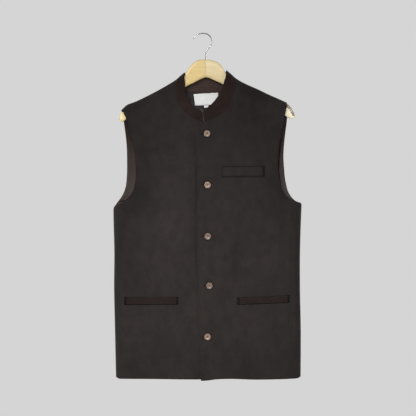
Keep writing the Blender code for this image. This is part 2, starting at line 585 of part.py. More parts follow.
def main():
    for old in list(bpy.data.objects):
        bpy.data.objects.remove(old, do_unlink=True)
    jacket = bpy.data.collections.new("nehru_jacket_on_hanger")
    bpy.context.scene.collection.children.link(jacket)

    fronts = {side: front_panel(side) for side in ("right", "left")}
    back, neck_columns = back_panel()
    front_objects = {
        "right": cloth("front_right", fronts["right"], WALL, "body_wool", jacket),
        "left": cloth("front_left", fronts["left"], WALL, "body_wool", jacket, flip=True),
    }
    back_object = cloth("back", back, WALL, "body_wool", jacket, flip=True)
    cloth("collar", collar_band(fronts, back, neck_columns), COLLAR_WALL, "collar_wool", jacket, flip=True)

    neck_facing = lining("neck_facing", back[-FACING_ROWS:, neck_columns[2]:neck_columns[-2]], jacket)
    above_underarm = slice(LOW_ROWS + 2, -3)
    lining("armhole_facing_right", back[above_underarm, :FACING_COLUMNS], jacket)
    lining("armhole_facing_left", back[above_underarm, -FACING_COLUMNS:], jacket)

    bpy.context.view_layer.update()
    rise = SEAM_GAP + PIECE_LIFT + WELT_WALL
    for name, side, corners in (("pocket_welt_right", "right", POCKET_WELT_RIGHT),
                                ("pocket_welt_left", "left", POCKET_WELT_LEFT),
                                ("breast_welt", "left", BREAST_WELT)):
        colour = "body_wool" if name == "breast_welt" else "welt_wool"
        grid = lying_on(front_objects[side], corners, LYING_COLUMNS, 2, rise)
        cloth(name, grid, WELT_WALL, colour, jacket, flip=side == "left")
    for number, place in enumerate(BUTTONS, 1):
        button("button_%d" % number, place, front_objects["left"], jacket)
    for name, corners in (("label", LABEL), ("size_tab", SIZE_TAB)):
        grid = lying_on(neck_facing, corners, LABEL_COLUMNS, 3, SEAM_GAP + LABEL_WALL, start_y=INSIDE_Y)
        cloth(name, grid, LABEL_WALL, "label_ribbon", jacket)
    wooden_arm("right", jacket)
    wooden_arm("left", jacket)
    hook(jacket)


main()
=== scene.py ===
"""A sleeveless nehru jacket in dark wool on a wooden hanger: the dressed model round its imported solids.

Metres, +Z up, the jacket faces -Y and the wearer's right is at -X. Outline tables are in millimetres.
"""

import math
from collections import namedtuple

import bmesh
import bpy
import numpy as np
from mathutils import Matrix, Vector
from mathutils.bvhtree import BVHTree


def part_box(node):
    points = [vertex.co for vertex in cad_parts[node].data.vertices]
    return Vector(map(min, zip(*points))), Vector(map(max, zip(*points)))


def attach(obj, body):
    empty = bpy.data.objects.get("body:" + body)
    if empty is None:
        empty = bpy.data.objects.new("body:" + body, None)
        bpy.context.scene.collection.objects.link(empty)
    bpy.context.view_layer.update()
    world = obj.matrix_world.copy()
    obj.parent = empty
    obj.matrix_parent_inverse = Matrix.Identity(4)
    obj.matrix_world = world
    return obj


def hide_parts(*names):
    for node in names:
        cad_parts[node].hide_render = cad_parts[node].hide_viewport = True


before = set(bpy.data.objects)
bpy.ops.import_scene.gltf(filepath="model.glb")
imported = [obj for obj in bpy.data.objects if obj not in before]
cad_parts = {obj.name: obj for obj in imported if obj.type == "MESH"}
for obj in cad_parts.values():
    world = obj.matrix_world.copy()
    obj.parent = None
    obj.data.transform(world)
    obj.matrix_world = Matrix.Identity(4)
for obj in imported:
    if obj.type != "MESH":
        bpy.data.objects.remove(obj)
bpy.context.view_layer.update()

MM = 0.001
SIDES = (("right", -1), ("left", 1))   # the wearer's sides and the way along X to each

# cloth
WALL = 2.0 * MM
SEAM_GAP = 0.3 * MM
SEAM_LAND = 1.2 * MM
LINING_GAP = 2.02 * MM     # from a panel's outer face to the outer face of its facing
LINING_WALL = 0.9 * MM
LABEL_WALL = 0.5 * MM
COLLAR_WALL = 2.6 * MM

# depth of the hanging jacket
FRONT_PLANE = -50.0 * MM
FRONT_ROUND = 5.0 * MM
BACK_PLANE = 16.0 * MM
BACK_ROUND = 24.0 * MM
MID_PLANE = -10.0 * MM
MID_ROUND = 14.0 * MM
HALF_WIDTH = 230.0 * MM
CENTRE_X = 10.0 * MM
SHOULDER_ROLL = 12.5 * MM
SHOULDER_DROP = 75.0 * MM
SHOULDER_ANGLE = 27.0
SETTLE_DROP = 240.0 * MM
SIDE_TURN = 46.0 * MM
NECK_RISE = 0.42
UNDERARM_RUN = 1.1
FOLD_TOP_REACH = 90.0 * MM
FOLD_FOOT_REACH = 140.0 * MM
OVERLAP_STEP = 2.86 * MM
OVERLAP_FROM_X = -44.0 * MM
OVERLAP_RUN = 24.0 * MM
LAP_DENT = 2.6 * MM        # in the right front, under the left one's closing edge

# hanger
HANGER_MIDDLE_X = 4.8 * MM
HANGER_Y = -2.0 * MM
HANGER_BOW = 36.0 * MM
ARM_REACH = 205.0 * MM
ARM_THICKNESS = 13.0 * MM
ARM_TAPER = 0.12
ARM_END_ROUND = 0.86
WIRE_RADIUS = 1.4 * MM
HOOK_LEAN_DROP = 50.0 * MM
JOINT_ROUND = 0.7 * MM     # rounding of an arm's inner end
JOINT_RUN = 1.4 * MM
TAIL_FROM = 208.0 * MM     # where an arm's outer end begins to round off
PAINTED_END_FROM = 190.0 * MM     # where an arm's end turns to the paler wood, painted light, and the left one's top to grey, painted shade

# rows' shares of a panel's height: underarm, foot of the neck, end of the lap
UNDERARM_V, NECK_BASE_V, LAP_END_V = 0.56, 0.80, 0.83
PANEL_HEIGHT = 690.0       # mm along a panel for one whole share of its rows
FRONT_SPAN = 225.0         # mm along a front for one whole share of its columns
BACK_SPAN = 465.0
BACK_NECK_U = (0.32, 0.68)
COLLAR_BEND = 0.38
COLLAR_STAND = 0.55

# side seams from hem to underarm: x, z
SIDE_SEAM = {
    "right": ((-219.4, -864), (-222, -742.5), (-224.2, -633.5), (-223.6, -544.5), (-225.6, -467.5), (-226, -436.8)),
    "left": ((243, -862.7), (243.4, -742.5), (241.4, -633.5), (241.6, -544.5), (243.8, -467.5), (245.6, -426))}
# shoulder seams from tip to neck: x, z
SHOULDER_SEAM = {
    "right": ((-203.4, -186.5), (-193.3, -181.9), (-166.5, -169.1), (-134.5, -153.1), (-97.3, -132.7), (-82.3, -123.7),
        (-69, -115.3)),
    "left": ((208.6, -173.7), (194, -166.9), (161.8, -152.3), (135, -139.3), (100.3, -123.3), (90, -117.7),
        (81, -111.9))}
# armhole edges of the front panels from underarm to shoulder tip: x, z
FRONT_ARMHOLE = {
    "right": ((-226, -436.8), (-206.8, -425), (-190.3, -413), (-176.7, -393.5), (-171.6, -372.5), (-170, -334.3),
        (-171.5, -307.5), (-176, -278.3), (-183.8, -248.8), (-193, -215), (-199.5, -197.5), (-203.4, -186.5)),
    "left": ((245.6, -426), (219.8, -415.5), (203, -401.3), (193.8, -381.8), (188.2, -357.8), (185.4, -333.8),
        (186.2, -310), (189.8, -274), (196.8, -238.3), (203.8, -200.5), (207, -186.5), (208.6, -173.7))}
# armhole edges of the back panel, cut less deep than the front's: x, z
BACK_ARMHOLE = {
    "right": ((-226, -436.8), (-216.2, -422.5), (-204, -405.3), (-196.8, -387.5), (-193, -358.3), (-192.2, -320.5),
        (-193.2, -282.5), (-196, -252.5), (-200, -222.5), (-202.6, -202.5), (-203.4, -186.5)),
    "left": ((245.6, -426), (229, -417.9), (213.8, -398.5), (205.8, -369.8), (202, -333.8), (200.6, -310),
        (201.4, -286), (205.4, -247.8), (209.2, -214.3), (210, -192.5), (208.6, -173.7))}
# closing edges of the fronts, hem to neck; the wearer's left front laps over the right
FRONT_EDGE = {
    "right": ((38.5, -865.1), (38.5, -542.5), (38.5, -229.5)),
    "left": ((-6.5, -868.9), (-8.5, -782.5), (-11.5, -692.5), (-12.8, -594.5), (-18.5, -537.5), (-19.2, -489.5),
        (-15.4, -404.5), (-18.2, -312.5), (-21, -252.5))}
# top edges of the laps, from the closing edge to the end of the collar
LAP_TOP = {
    "right": ((38.5, -229.5), (36, -226), (-0.6, -221.7)),
    "left": ((-21, -252.5), (-22.6, -243.5), (-20.4, -236), (-12.5, -228.5), (0.6, -221.7))}
HEM = {
    "right": ((-219.4, -864), (-110, -864.5), (-40, -865.5), (38.5, -865.1)),
    "left": ((243, -862.7), (205, -864.5), (130, -865.9), (62, -864.1), (28, -865.5), (12, -867.9), (-6.5, -868.9))}
BACK_HEM = ((-219.4, -864), (10, -864.5), (243, -862.7))

# neck seam and the band that stands on it, round from the wearer's left collar end to the right one:
# base x, base z, then the band's lean: towards +X, towards the back, and up
COLLAR_FRONT = {
    "left": ((0.6, -221.7, -1, 20, 28.5), (23.5, -213.5, -13, 18, 28.5), (51, -195.5, -25, 11, 26.5),
        (64.5, -179, -27.5, 7, 24), (72.8, -160, -27, 4, 22), (77.8, -138.5, -25, 1, 24), (80.4, -124.5, -23.6, 0, 24),
        (81, -111.9, -23.7, 0, 21)),
    "right": ((-0.6, -221.7, -2.8, 19, 29.5), (-28.5, -211.5, 9, 19, 26), (-48.3, -195.5, 14.5, 17, 23),
        (-61, -180.8, 19.5, 14, 21.5), (-68, -163.8, 23, 8, 21), (-70, -144.5, 23.5, 4, 23), (-69.8, -128, 21.6, 0, 23),
        (-69, -115.3, 21.2, 0, 18.6))}
COLLAR_BACK = ((-69, -115.3, 21.2, 0, 18.6), (-61, -127.5, 16, 1, 22), (-48, -137, 10, 1, 27),
    (-24, -145.1, 4, 1, 35.5), (6, -146.9, 0, 1, 38), (36, -144.9, -4, 1, 35.5), (58, -138, -10, 1, 28),
    (73, -124.5, -18, 1, 24), (81, -111.9, -23.7, 0, 21))

# slow waves of the fronts and the back: depth, stretch along z, seed, length
FRONT_WAVES = ((1.3, 0.45, 11, 150), (0.5, 0.5, 12, 52), (0.1, 1, 13, 20))
BACK_WAVES = ((1.1, 0.4, 21, 150), (0.35, 0.6, 22, 55), (0.08, 1, 23, 17))
# soft folds of the front and back: x, half width to each side, z of the top and of the foot, depth (a trough is +)
FRONT_FOLDS = ((-176, 22, 60, -377.5, -697.5, 5), (-206, 9, 9, -442.5, -762.5, -1.2), (-95, 46, 46, -402.5, -822.5, -2),
    (-48, 22, 22, -562.5, -992.5, 1.6), (72, 34, 34, -432.5, -982.5, 2), (128, 36, 30, -522.5, -802.5, -2.2),
    (206, 15, 15, -412.5, -652.5, 2.4), (176, 30, 30, -642.5, -1002.5, 1.6))
BACK_FOLDS = ((-150, 34, 34, -332.5, -1002.5, 2.4), (-62, 40, 40, -422.5, -1002.5, -1.8),
    (18, 30, 30, -302.5, -962.5, 2), (95, 42, 42, -382.5, -1002.5, -2), (168, 30, 30, -352.5, -1002.5, 2.2))

# corners x, z of the pockets, the label and its size tab: bottom left, bottom right, top right, top left
POCKET_WELT_RIGHT = ((-199, -678.5), (-62.8, -677.5), (-62.8, -659), (-199, -659.5))
POCKET_WELT_LEFT = ((83.5, -678.5), (215.3, -673), (215.3, -655), (83.5, -661))
BREAST_WELT = ((45.5, -360.3), (153.6, -359.4), (153.6, -331), (45.5, -332.5))
LABEL = ((-21.6, -180.2), (38.6, -176.9), (36.2, -146.5), (-25.4, -151))
SIZE_TAB = ((1.3, -185.2), (11.8, -184.6), (12.6, -178.65), (0.6, -179.4))
# pockets: name, front, corners, wool, slot, rise, shares of the height where rows are stitched, and the welt's
# distances from the left end, right end, foot and top of the near-black sheet under it, in millimetres
POCKETS = (("breast", "left", BREAST_WELT, "body", "body_wool", 2.3 * MM, (), (1.3, 6.6, 3, 2.4)),
           ("pocket_right", "right", POCKET_WELT_RIGHT, "welt", "welt_wool", 2.0 * MM, (0.30, 0.64),
            (7.2, 6, 0.8, 0.9)),
           ("pocket_left", "left", POCKET_WELT_LEFT, "welt", "welt_wool", 2.0 * MM, (0.30, 0.64),
            (6.4, 5.4, 0.8, 0.9)))
POCKET_DIPS = ((POCKET_WELT_RIGHT, 0.8), (POCKET_WELT_LEFT, 0.8), (BREAST_WELT, 1))

BUTTONS = ((8.6, -251.3), (9.8, -379.5), (10.2, -508), (14.6, -631.3), (9.8, -758.8))

# depths that rays start from: between the front and the back neck, before the jacket and behind it
INSIDE_Y, BEFORE_Y, BEHIND_Y = -6.0 * MM, -0.2, 0.2
# label and size tab: name, corners, columns, rows, lift, and how the lift changes up it: at its foot, by its top
RIBBONS = (("label", LABEL, 48, 26, 0.7 * MM, 1, -0.3), ("size_tab", SIZE_TAB, 14, 12, 0.9 * MM, 1.2, -1))

# wooden arms: distance from the joint, top z, bottom z
ARM = {
    "right": ((0, -64.3, -109.1), (10, -64.5, -113.1), (20, -66.7, -118.1), (27.5, -71.5, -122.1), (35, -77.9, -125.7),
        (42.5, -87.5, -129.5), (50, -98.9, -133.5), (57.5, -110.3, -137.1), (66, -118.5, -141.9), (75, -124.1, -146.7),
        (92, -133.5, -155.9), (125, -151.9, -174.5), (160, -169.5, -193.5), (188, -182.7, -208.5), (203, -190.8, -219),
        (210.5, -198, -221.8), (215.2, -207, -218.6)),
    "left": ((0, -64.3, -109.1), (9, -65.1, -111.1), (18, -66.1, -115.1), (25, -68.9, -118.3), (32.5, -73.3, -121.7),
        (40, -79.9, -125.3), (47.5, -92.9, -128.9), (54, -103.9, -132.3), (62, -111.9, -136.5), (78, -120.3, -143.5),
        (96, -130.1, -151.5), (130, -144.9, -168.5), (165, -159.9, -187.5), (196, -173.7, -204.5),
        (206, -178.1, -210.9), (216, -189.9, -214.5), (222, -201.5, -211.1))}

# steel hook, from its tip round the crown to its foot: x, z
HOOK = ((-24.6, -13), (-20.6, -5.6), (-12.2, -0.4), (-1, 1.4), (9.6, -1), (17.6, -8.6), (20.3, -18.6), (17.4, -29.4),
    (11.4, -37.6), (6.6, -43.2), (5, -49), (4.8, -55), (4.8, -63.9))

# working of the cloth, in millimetres
STITCH_IN = 6.0            # top stitching from a turned edge
HEM_TURN = 27.0            # depth of the hem's turning inside
HEM_CORNER = 4.5           # rounding of the hem's outer corners
# the wearer's right shoulder tip swells and then droops over the hanger's end: x, z, reach, shift in x and in z
TIP_MOVES = ((-203.4, -186.5, 9, (-2.6, -6.4)), (-191, -180, 15, (-0.4, 2.3)))
FACING_WIDTH = 70.0        # width of the fronts' own facing inside
COLLAR_FOOT_U = 0.895      # where on a front the collar takes its upward direction
COLLAR_CORNER = 6.0 * MM   # rounding of the collar's front corners
COLLAR_HEIGHT = 36         # mm, which the steps from its top edge are shares of
COLLAR_ROWS = np.arange(1, 7) / 6.7   # heights of the collar's stitched rows
ROW_DEPTH = 0.75 * MM      # of a stitched row on each face of the collar
STITCH_PROUD = 0.06 * MM
MOUTH_SHADE_RISE = 0.62 * MM    # of a pocket's near-black sheet over the front, its mouth and painted shade round its welt
MOUTH_SHADE_WALL = 0.8 * MM
PUCKER_SEED, WELT_SEED = 31, 41

# facings of lining cloth inside the back: node, lining, rows from, rows to, shares across from, to
FACINGS = (("neck_facing", "neck", 0.851, 0.9995, 0.352, 0.647),
           ("armhole_facing_right", "shaded", 0.585, 0.995, -0.001, 0.078),
           ("armhole_facing_left", "lining", 0.585, 0.995, 0.922, 1.001))

BUTTON_THICKNESS = 3.6 * MM
# half of a button's section: share of the way, of the radius, of the thickness
BUTTON_PROFILE = ((0, 0, 0), (0.2, 0.80, 0), (0.3, 0.96, 0.22), (0.36, 1, 0.48), (0.42, 0.97, 0.76), (0.5, 0.86, 0.98),
    (0.58, 0.74, 0.98), (0.68, 0.60, 0.74), (0.8, 0.42, 0.62), (1, 0, 0.60))
BUTTON_TURNS = (8, -20, 35, 14, -8)
# each button's horn darkened by its share, painted shade on the buttons that the key's pool lights most
BUTTON_PAINTED_SHADE = (0.84, 0.90, 0.49, 0.44, 0.92)
HOLE_PLACE = 1.65 * MM
HOLE_RADIUS = 0.95 * MM
BUTTON_INSET = 0.3 * MM    # inside its solid's rim
THREAD_APART = 0.85 * MM / math.sqrt(2)

# painted light and shade on the body cloth, lighter or darker round points: x, z, half width, half height in
# millimetres, and share lighter
PAINTED_LIGHT_AND_SHADE = ((-190, -500, 36, 160, -0.18), (-160, -335, 48, 120, -0.18), (-70, -385, 50, 300, 0.06),
    (78, -505, 42, 60, -0.08), (95, -800, 46, 100, -0.06), (-90, -815, 180, 45, -0.06), (165, -190, 60, 45, 0.12),
    (-115, -190, 60, 40, 0.02), (172, -630, 56, 50, -0.06), (-32, -480, 10, 110, -0.05), (160, -540, 50, 50, 0.06),
    (-4, -285, 24, 60, -0.10), (-15, -710, 38, 90, 0.20), (237, -640, 9, 230, -0.25), (188, -370, 18, 90, -0.10),
    (176, -425, 62, 110, -0.14), (-165, -415, 50, 46, -0.14), (-184, -710, 30, 60, 0.16), (130, -735, 100, 55, 0.14),
    (-101, -435, 26, 26, -0.15), (-76, -730, 34, 44, 0.14), (116, -590, 34, 30, 0.11), (62, -768, 30, 32, 0.10),
    (-200, -480, 15, 45, -0.10), (201, -395, 14, 26, -0.22))
# painted shade on the cloth along the closing edge, painted light at its foot and beside it, and painted shade round
# the buttons, in the same columns
CLOSING_SHADE = ((-18.5, -375, 5, 85, -0.25), (-18.3, -535, 5, 85, -0.25), (-14.5, -812, 7, 40, 0.14),
    (8, -562, 9, 50, 0.13), (-36, -695, 13, 42, 0.14))
BUTTON_SHADE = tuple((x, z, 10, 10, -0.42) for x, z in BUTTONS)
SPOT_REACH = 1.6           # half widths from a spot's middle to where it has faded out
TWILL = 0.9 * MM           # from rib to rib of the wool
TWILL_TURN = math.radians(18)

# wool by place: colour, colour of its warmer fibres, and spots of painted light and shade as for the body
WOOLS = {"body": ((0.0145, 0.0127, 0.0122), (0.0182, 0.0135, 0.0121), PAINTED_LIGHT_AND_SHADE + CLOSING_SHADE + BUTTON_SHADE),
         "back": ((0.0145, 0.0127, 0.0122), (0.0182, 0.0135, 0.0121), PAINTED_LIGHT_AND_SHADE),
         # the collar's spots darken its front, and paint the shadow beside its left inner edge
         "collar": ((0.0160, 0.0091, 0.0081), (0.0200, 0.0100, 0.0083),
                    ((4, -208, 42, 26, -0.28), (-43.8, -144, 3.5, 8, -0.92))),
         "welt": ((0.0122, 0.0074, 0.0070), (0.0165, 0.0082, 0.0071), ()),
         # the collar's inside is a lighter cloth, partly painted light that lifts the shade inside the neck
         "collar_inside": ((0.042, 0.0265, 0.0235), (0.0483, 0.030475, 0.027025), ())}
# lining by place: colour, specular level, roughness, spots of painted shade as for the wool
SATINS = {"lining": ((0.0272, 0.0184, 0.0160), 0.2, 0.55, ()),
          # the lining again, darker: painted shade on the wearer's right armhole facing, which the lamps light more
          # than the left one
          "shaded": ((0.0225, 0.0135, 0.0108), 0.2, 0.55, ()),
          # the neck lining's spot is a painted shadow beside the collar's left edge
          "neck": ((0.024, 0.021, 0.022), 0.12, 0.6, ((-35.5, -166, 5.5, 8.5, -0.55),)),
          # near-black lining of the pockets' mouths, which also paints the shade round their welts
          "pocket": ((0.0045, 0.0030, 0.0030), 0, 0.9, ()),
          "breast": ((0.0135, 0.0110, 0.0104), 0, 0.9, ())}
RIBBON = (0.815, 0.82, 0.825)
# threads: colour and the slot of the cloth they are sewn in
THREADS = {"pale": ((0.55, 0.54, 0.52), "label_ribbon"), "dark": ((0.0085, 0.0068, 0.0065), "body_wool"),
           "brown": ((0.14, 0.062, 0.026), "button_horn"), "rose": ((0.135, 0.096, 0.089), "collar_wool")}
# horn from its veins to its clouds: place on the ramp, colour
HORN = ((0.3, (0.155, 0.100, 0.070)), (0.55, (0.245, 0.170, 0.122)), (0.8, (0.35, 0.262, 0.20)))
# wood: turn of its grain, then pale, middle and brown; the arms' ends are paler copies, painted light, and the top of
# the left one's end is grey, painted shade
# the wearer's right arm is a darker, more saturated copy of the same wood, painted shade
WOODS = {"right": (-0.55, (0.825, 0.65, 0.305), (0.765, 0.575, 0.237), (0.65, 0.46, 0.168)),
         "right_end": (-0.55, (0.86, 0.735, 0.435), (0.84, 0.69, 0.38), (0.77, 0.61, 0.31)),
         "left": (0.48, (0.80, 0.675, 0.395), (0.74, 0.59, 0.315), (0.635, 0.475, 0.223)),
         "left_end": (0.48, (0.93, 0.86, 0.67), (0.91, 0.82, 0.60), (0.85, 0.73, 0.50)),
         "painted_shade": (0.48, (0.26, 0.22, 0.17), (0.22, 0.18, 0.14), (0.16, 0.13, 0.10))}

FLOOR_Z = -1.7
# backdrop's brightness by height, from straight down to straight up
SKY = ((0, 0.36), (0.40, 0.36), (0.45, 0.665), (0.55, 0.665), (0.62, 0.34), (1, 0.20))
# lights: name, place, aim, power and colour, then the angle and radius of a soft pool or the width of a round lamp
LIGHTS = (("key", (-0.22, -4.1, 0.45), (-0.07, -0.05, -0.61), 850, (1, 0.99, 0.975), (15.5, 0.1)),
          ("neck", (-0.85, -3, 0.98), (-0.02, -0.03, -0.05), 140, (1, 0.985, 0.96), (7.5, 0.1)),
          ("top", (-0.8, -2.6, 1.5), (0, 0, -0.2), 21, (1, 0.99, 0.97), (0.6,)),
          ("end", (0.5, -3.3, 0.7), (0.213, -0.03, -0.199), 145, (1, 0.985, 0.96), (2.4, 0.02)),
          ("fill", (2.8, -3.8, -0.5), (0, 0, -0.5), 16, (0.97, 0.985, 1), (1.8,)),
          ("behind", (2.2, 3.4, 0.6), (0, 0, -0.45), 70, (1, 1, 1), (1.6,)),
          ("behind_left", (-2.6, 3, 0.2), (0, 0, -0.45), 30, (1, 1, 1), (1.6,)))


def smooth(t, knots, values):
    """Cubic curve through the values at their knots, straight beyond its ends."""
    knots, values = np.asarray(knots, float), np.asarray(values, float)
    slopes = np.gradient(values, knots, axis=0)
    t = np.asarray(t, float)
    inside = np.clip(t, knots[0], knots[-1])
    k = np.clip(np.searchsorted(knots, inside, side="right") - 1, 0, len(knots) - 2)
    width = knots[k + 1] - knots[k]
    s, beyond = (inside - knots[k]) / width, t - inside
    if values.ndim > 1:
        s, width, beyond = s[..., None], width[..., None], beyond[..., None]
    curve = ((2 * s**3 - 3 * s**2 + 1) * values[k] + (s**3 - 2 * s**2 + s) * width * slopes[k]
             + (3 * s**2 - 2 * s**3) * values[k + 1] + (s**3 - s**2) * width * slopes[k + 1])
    return curve + beyond * slopes[np.where(t < inside, 0, len(knots) - 1)]


def ease(t):
    t = np.clip(t, 0.0, 1.0)
    return t * t * (3.0 - 2.0 * t)


def bell(far, width):
    """A smooth bump of height 1 that fades with distance."""
    return np.exp(-(far / width) ** 2)


def unit(vectors):
    return vectors / np.maximum(np.linalg.norm(vectors, axis=-1, keepdims=True), 1e-12)


def travelled(line):
    """Distance along a line of points to each of them."""
    return np.concatenate([[0.0], np.cumsum(np.linalg.norm(np.diff(line, axis=0), axis=1))])


def on_line(at, knots, line):
    """Points of a line of straight pieces, at places among its knots."""
    return np.stack([np.interp(at, knots, line[:, k]) for k in range(3)], -1)


def along(rows):
    """A function of 0 to 1 that runs evenly along the smooth curve through a table's first two columns."""
    rows = np.asarray(rows, float)
    knots = travelled(rows[:, :2])
    fine = np.linspace(0.0, knots[-1], 400)
    length = travelled(smooth(fine, knots, rows)[:, :2])
    return lambda s: smooth(np.interp(s, length / length[-1], fine), knots, rows)


def line_of(rows, count=160):
    return along(rows)(np.linspace(0, 1, count))[:, :2]


def join(*pieces):
    """One function of 0 to 1 out of (end, table) pieces, each run over its own stretch."""
    pieces = [(end, along(rows)) for end, rows in pieces]

    def curve(t):
        t = np.asarray(t, float)
        out = np.zeros(t.shape + (2,))
        start = 0.0
        for end, piece in pieces:
            here = (t >= start - 1e-9) & (t <= end + 1e-9)
            out[here] = piece((t[here] - start) / (end - start))[..., :2]
            start = end
        return out
    return curve


def patch(u, v, left, right, bottom, top):
    """Points inside four joined edges; u runs from left to right and v from bottom to top."""
    u1, v1 = u[..., None], v[..., None]
    low, high = bottom(np.array([0.0, 1.0])), top(np.array([0.0, 1.0]))
    return ((1 - v1) * bottom(u) + v1 * top(u) + (1 - u1) * left(v) + u1 * right(v)
            - (1 - v1) * ((1 - u1) * low[0] + u1 * low[1]) - v1 * ((1 - u1) * high[0] + u1 * high[1]))


def between(corners, u, v):
    """Points at shares u across and v up a flat shape with four corners."""
    low_a, low_b, high_b, high_a = (np.array(c) * MM for c in corners)
    u, v = u[..., None], v[..., None]
    return (1 - v) * ((1 - u) * low_a + u * low_b) + v * ((1 - u) * high_a + u * high_b)


def squared(t, power):
    """A sine or cosine bent so that the round it draws becomes nearly square."""
    return np.sign(t) * np.abs(t) ** power


# ---- the jacket's form ----

def hanger_y(x):
    return HANGER_Y - HANGER_BOW * (np.abs(x - HANGER_MIDDLE_X) / ARM_REACH) ** 1.5


def below_shoulder(x, z):
    """Distance below the shoulder seams, or their run on across the neck."""
    height = []
    for side, sign in SIDES:
        rows = np.array(SHOULDER_SEAM[side]) * MM
        inward = sign * (rows[-1, 0] - x)
        height.append(np.where(inward > 0, rows[-1, 1] + NECK_RISE * inward, smooth(x, *rows[::-sign].T)))
    return np.maximum(np.minimum(*height) - z, 0.0) * math.cos(math.radians(SHOULDER_ANGLE))


def from_side(x, z):
    """Distance inside the side seams, which run outwards above the underarms to leave the armholes open."""
    found = []
    for side, sign in SIDES:
        rows = np.array(SIDE_SEAM[side]) * MM
        above = np.maximum(z - rows[-1, 1], 0.0)
        found.append(sign * (smooth(z - above, *rows[:, ::-1].T) - x) + UNDERARM_RUN * above)
    return np.maximum(np.minimum(*found), 0.0)


def folds(rows, x, z):
    depth = np.zeros_like(x)
    for at, near, far, top, foot, size in rows:
        across = bell(x - at * MM, np.where(x < at * MM, near, far) * MM)
        reach = ease((top * MM - z) / FOLD_TOP_REACH) * ease((z - foot * MM) / FOLD_FOOT_REACH)
        depth += size * MM * across * reach
    return depth


def body_y(x, z, front):
    """Depth of the outer face of the cloth, before its seam land."""
    out = np.abs(x - CENTRE_X) / HALF_WIDTH
    drop, side = below_shoulder(x, z), from_side(x, z)
    roll = np.sqrt(1 - (1 - np.minimum(drop / SHOULDER_ROLL, 1)) ** 2)
    fall = 1 - np.exp(-((drop / SHOULDER_DROP) ** 2))
    turn = (1 - (1 - np.minimum(side / SIDE_TURN, 1)) ** 2.2) ** 0.5
    settle = ease(drop / SETTLE_DROP)
    mid = hanger_y(x) * (1 - settle) + (MID_PLANE - MID_ROUND * out**2) * settle
    if front:
        plane = FRONT_PLANE + FRONT_ROUND * out**2 + folds(FRONT_FOLDS, x, z)
        return mid - turn * (SHOULDER_ROLL * roll + (mid - SHOULDER_ROLL - plane) * fall)
    plane = BACK_PLANE - BACK_ROUND * out**2 - folds(BACK_FOLDS, x, z)
    return mid + turn * (SHOULDER_ROLL * roll + (plane - mid - SHOULDER_ROLL) * fall)


# ---- grids ----

EDGE_STEPS = np.array([0.0, 0.12, 0.45, 1.0, 1.8, 3.2, 5.0])   # mm from a turned edge
SIDE_STEPS = 46.0 * (np.arange(17) / 16.0) ** 2                # mm from a side seam
SHOULDER_STEPS = 44.0 * (np.arange(13) / 12.0) ** 2            # mm from a shoulder seam


def run(start, stop, step, span):
    """Even shares from start to stop, about step millimetres apart, without the first."""
    count = max(int(round((stop - start) * span / step)), 1)
    return np.linspace(start, stop, count + 1)[1:]


def fine_rows():
    low = EDGE_STEPS / PANEL_HEIGHT
    top = 1.0 - SHOULDER_STEPS[::-1] * 1.1 / PANEL_HEIGHT
    ends = (low[-1], UNDERARM_V, NECK_BASE_V, LAP_END_V, top[0])
    runs = [run(*pair, step, PANEL_HEIGHT) for *pair, step in zip(ends, ends[1:], (4.3, 3.8, 1.4, 2.6))]
    return np.concatenate([low, *runs, top[1:]])


def to_edge(points, *lines):
    """Distance in millimetres of each point from the nearest of some lines of points."""
    flat = points.reshape(-1, 2)
    found = np.full(len(flat), np.inf)
    for line in lines:
        a, ab = line[:-1], np.diff(line, axis=0)
        for start in range(0, len(flat), 4000):
            p = flat[start:start + 4000, None, :]
            t = np.clip(((p - a) * ab).sum(-1) / np.maximum((ab * ab).sum(-1), 1e-9), 0, 1)
            far = np.sqrt((((a + t[..., None] * ab) - p) ** 2).sum(-1).min(1))
            found[start:start + 4000] = np.minimum(found[start:start + 4000], far)
    return found.reshape(points.shape[:-1])


def noise(x, z, seed, scale):
    """Smooth uneven waves between -1 and 1."""
    draw = np.random.default_rng(seed)
    total = np.zeros_like(x)
    for _ in range(7):
        angle = draw.uniform(0, math.pi)
        wave = draw.uniform(0.6, 1.7) / scale
        total += np.sin((x * math.cos(angle) + z * math.sin(angle)) * wave * 6.28 + draw.uniform(0, 6.28))
    return total / 4.0


# ---- mesh makers ----

def normals(grid):
    return unit(np.cross(np.gradient(grid, axis=1), np.gradient(grid, axis=0)))


def lengths(grid):
    """Distance along each row from its first point and up each column from its first, in metres."""
    across = np.linalg.norm(np.diff(grid, axis=1, prepend=grid[:, :1]), axis=-1)
    up = np.linalg.norm(np.diff(grid, axis=0, prepend=grid[:1]), axis=-1)
    return np.stack([np.cumsum(across, 1), np.cumsum(up, 0)], -1)


def rim_of(grid):
    """Each point's distance from the nearest edge of its grid, in metres."""
    across, up = np.moveaxis(lengths(grid), -1, 0)
    return np.minimum(np.minimum(across, across[:, -1:] - across), np.minimum(up, up[-1:] - up))


def added(name, data):
    """A new object in the scene."""
    made = bpy.data.objects.new(name, data)
    bpy.context.scene.collection.objects.link(made)
    return made


def finished(name, verts, faces, uvs, materials, slots=0, flat=()):
    """A mesh object from points, faces, their places on the cloth and their material numbers."""
    mesh = bpy.data.meshes.new(name)
    mesh.from_pydata(verts.tolist(), [], faces)
    layer = mesh.uv_layers.new(name="UVMap")
    index = np.zeros(len(mesh.loops), np.int32)
    mesh.loops.foreach_get("vertex_index", index)
    layer.data.foreach_set("uv", np.asarray(uvs, np.float32)[index].ravel())
    for one in materials:
        mesh.materials.append(one)
    mesh.polygons.foreach_set("material_index", np.broadcast_to(slots, len(faces)).astype(np.int32))
    rounded = np.ones(len(faces), bool)
    rounded[list(flat)] = False
    mesh.polygons.foreach_set("use_smooth", rounded)
    shape = bmesh.new()
    shape.from_mesh(mesh)
    bmesh.ops.remove_doubles(shape, verts=shape.verts, dist=1e-6)
    bmesh.ops.recalc_face_normals(shape, faces=shape.faces)
    if shape.calc_volume(signed=True) < 0:
        bmesh.ops.reverse_faces(shape, faces=shape.faces)
    shape.to_mesh(mesh)
    shape.free()
    return added(name, mesh)


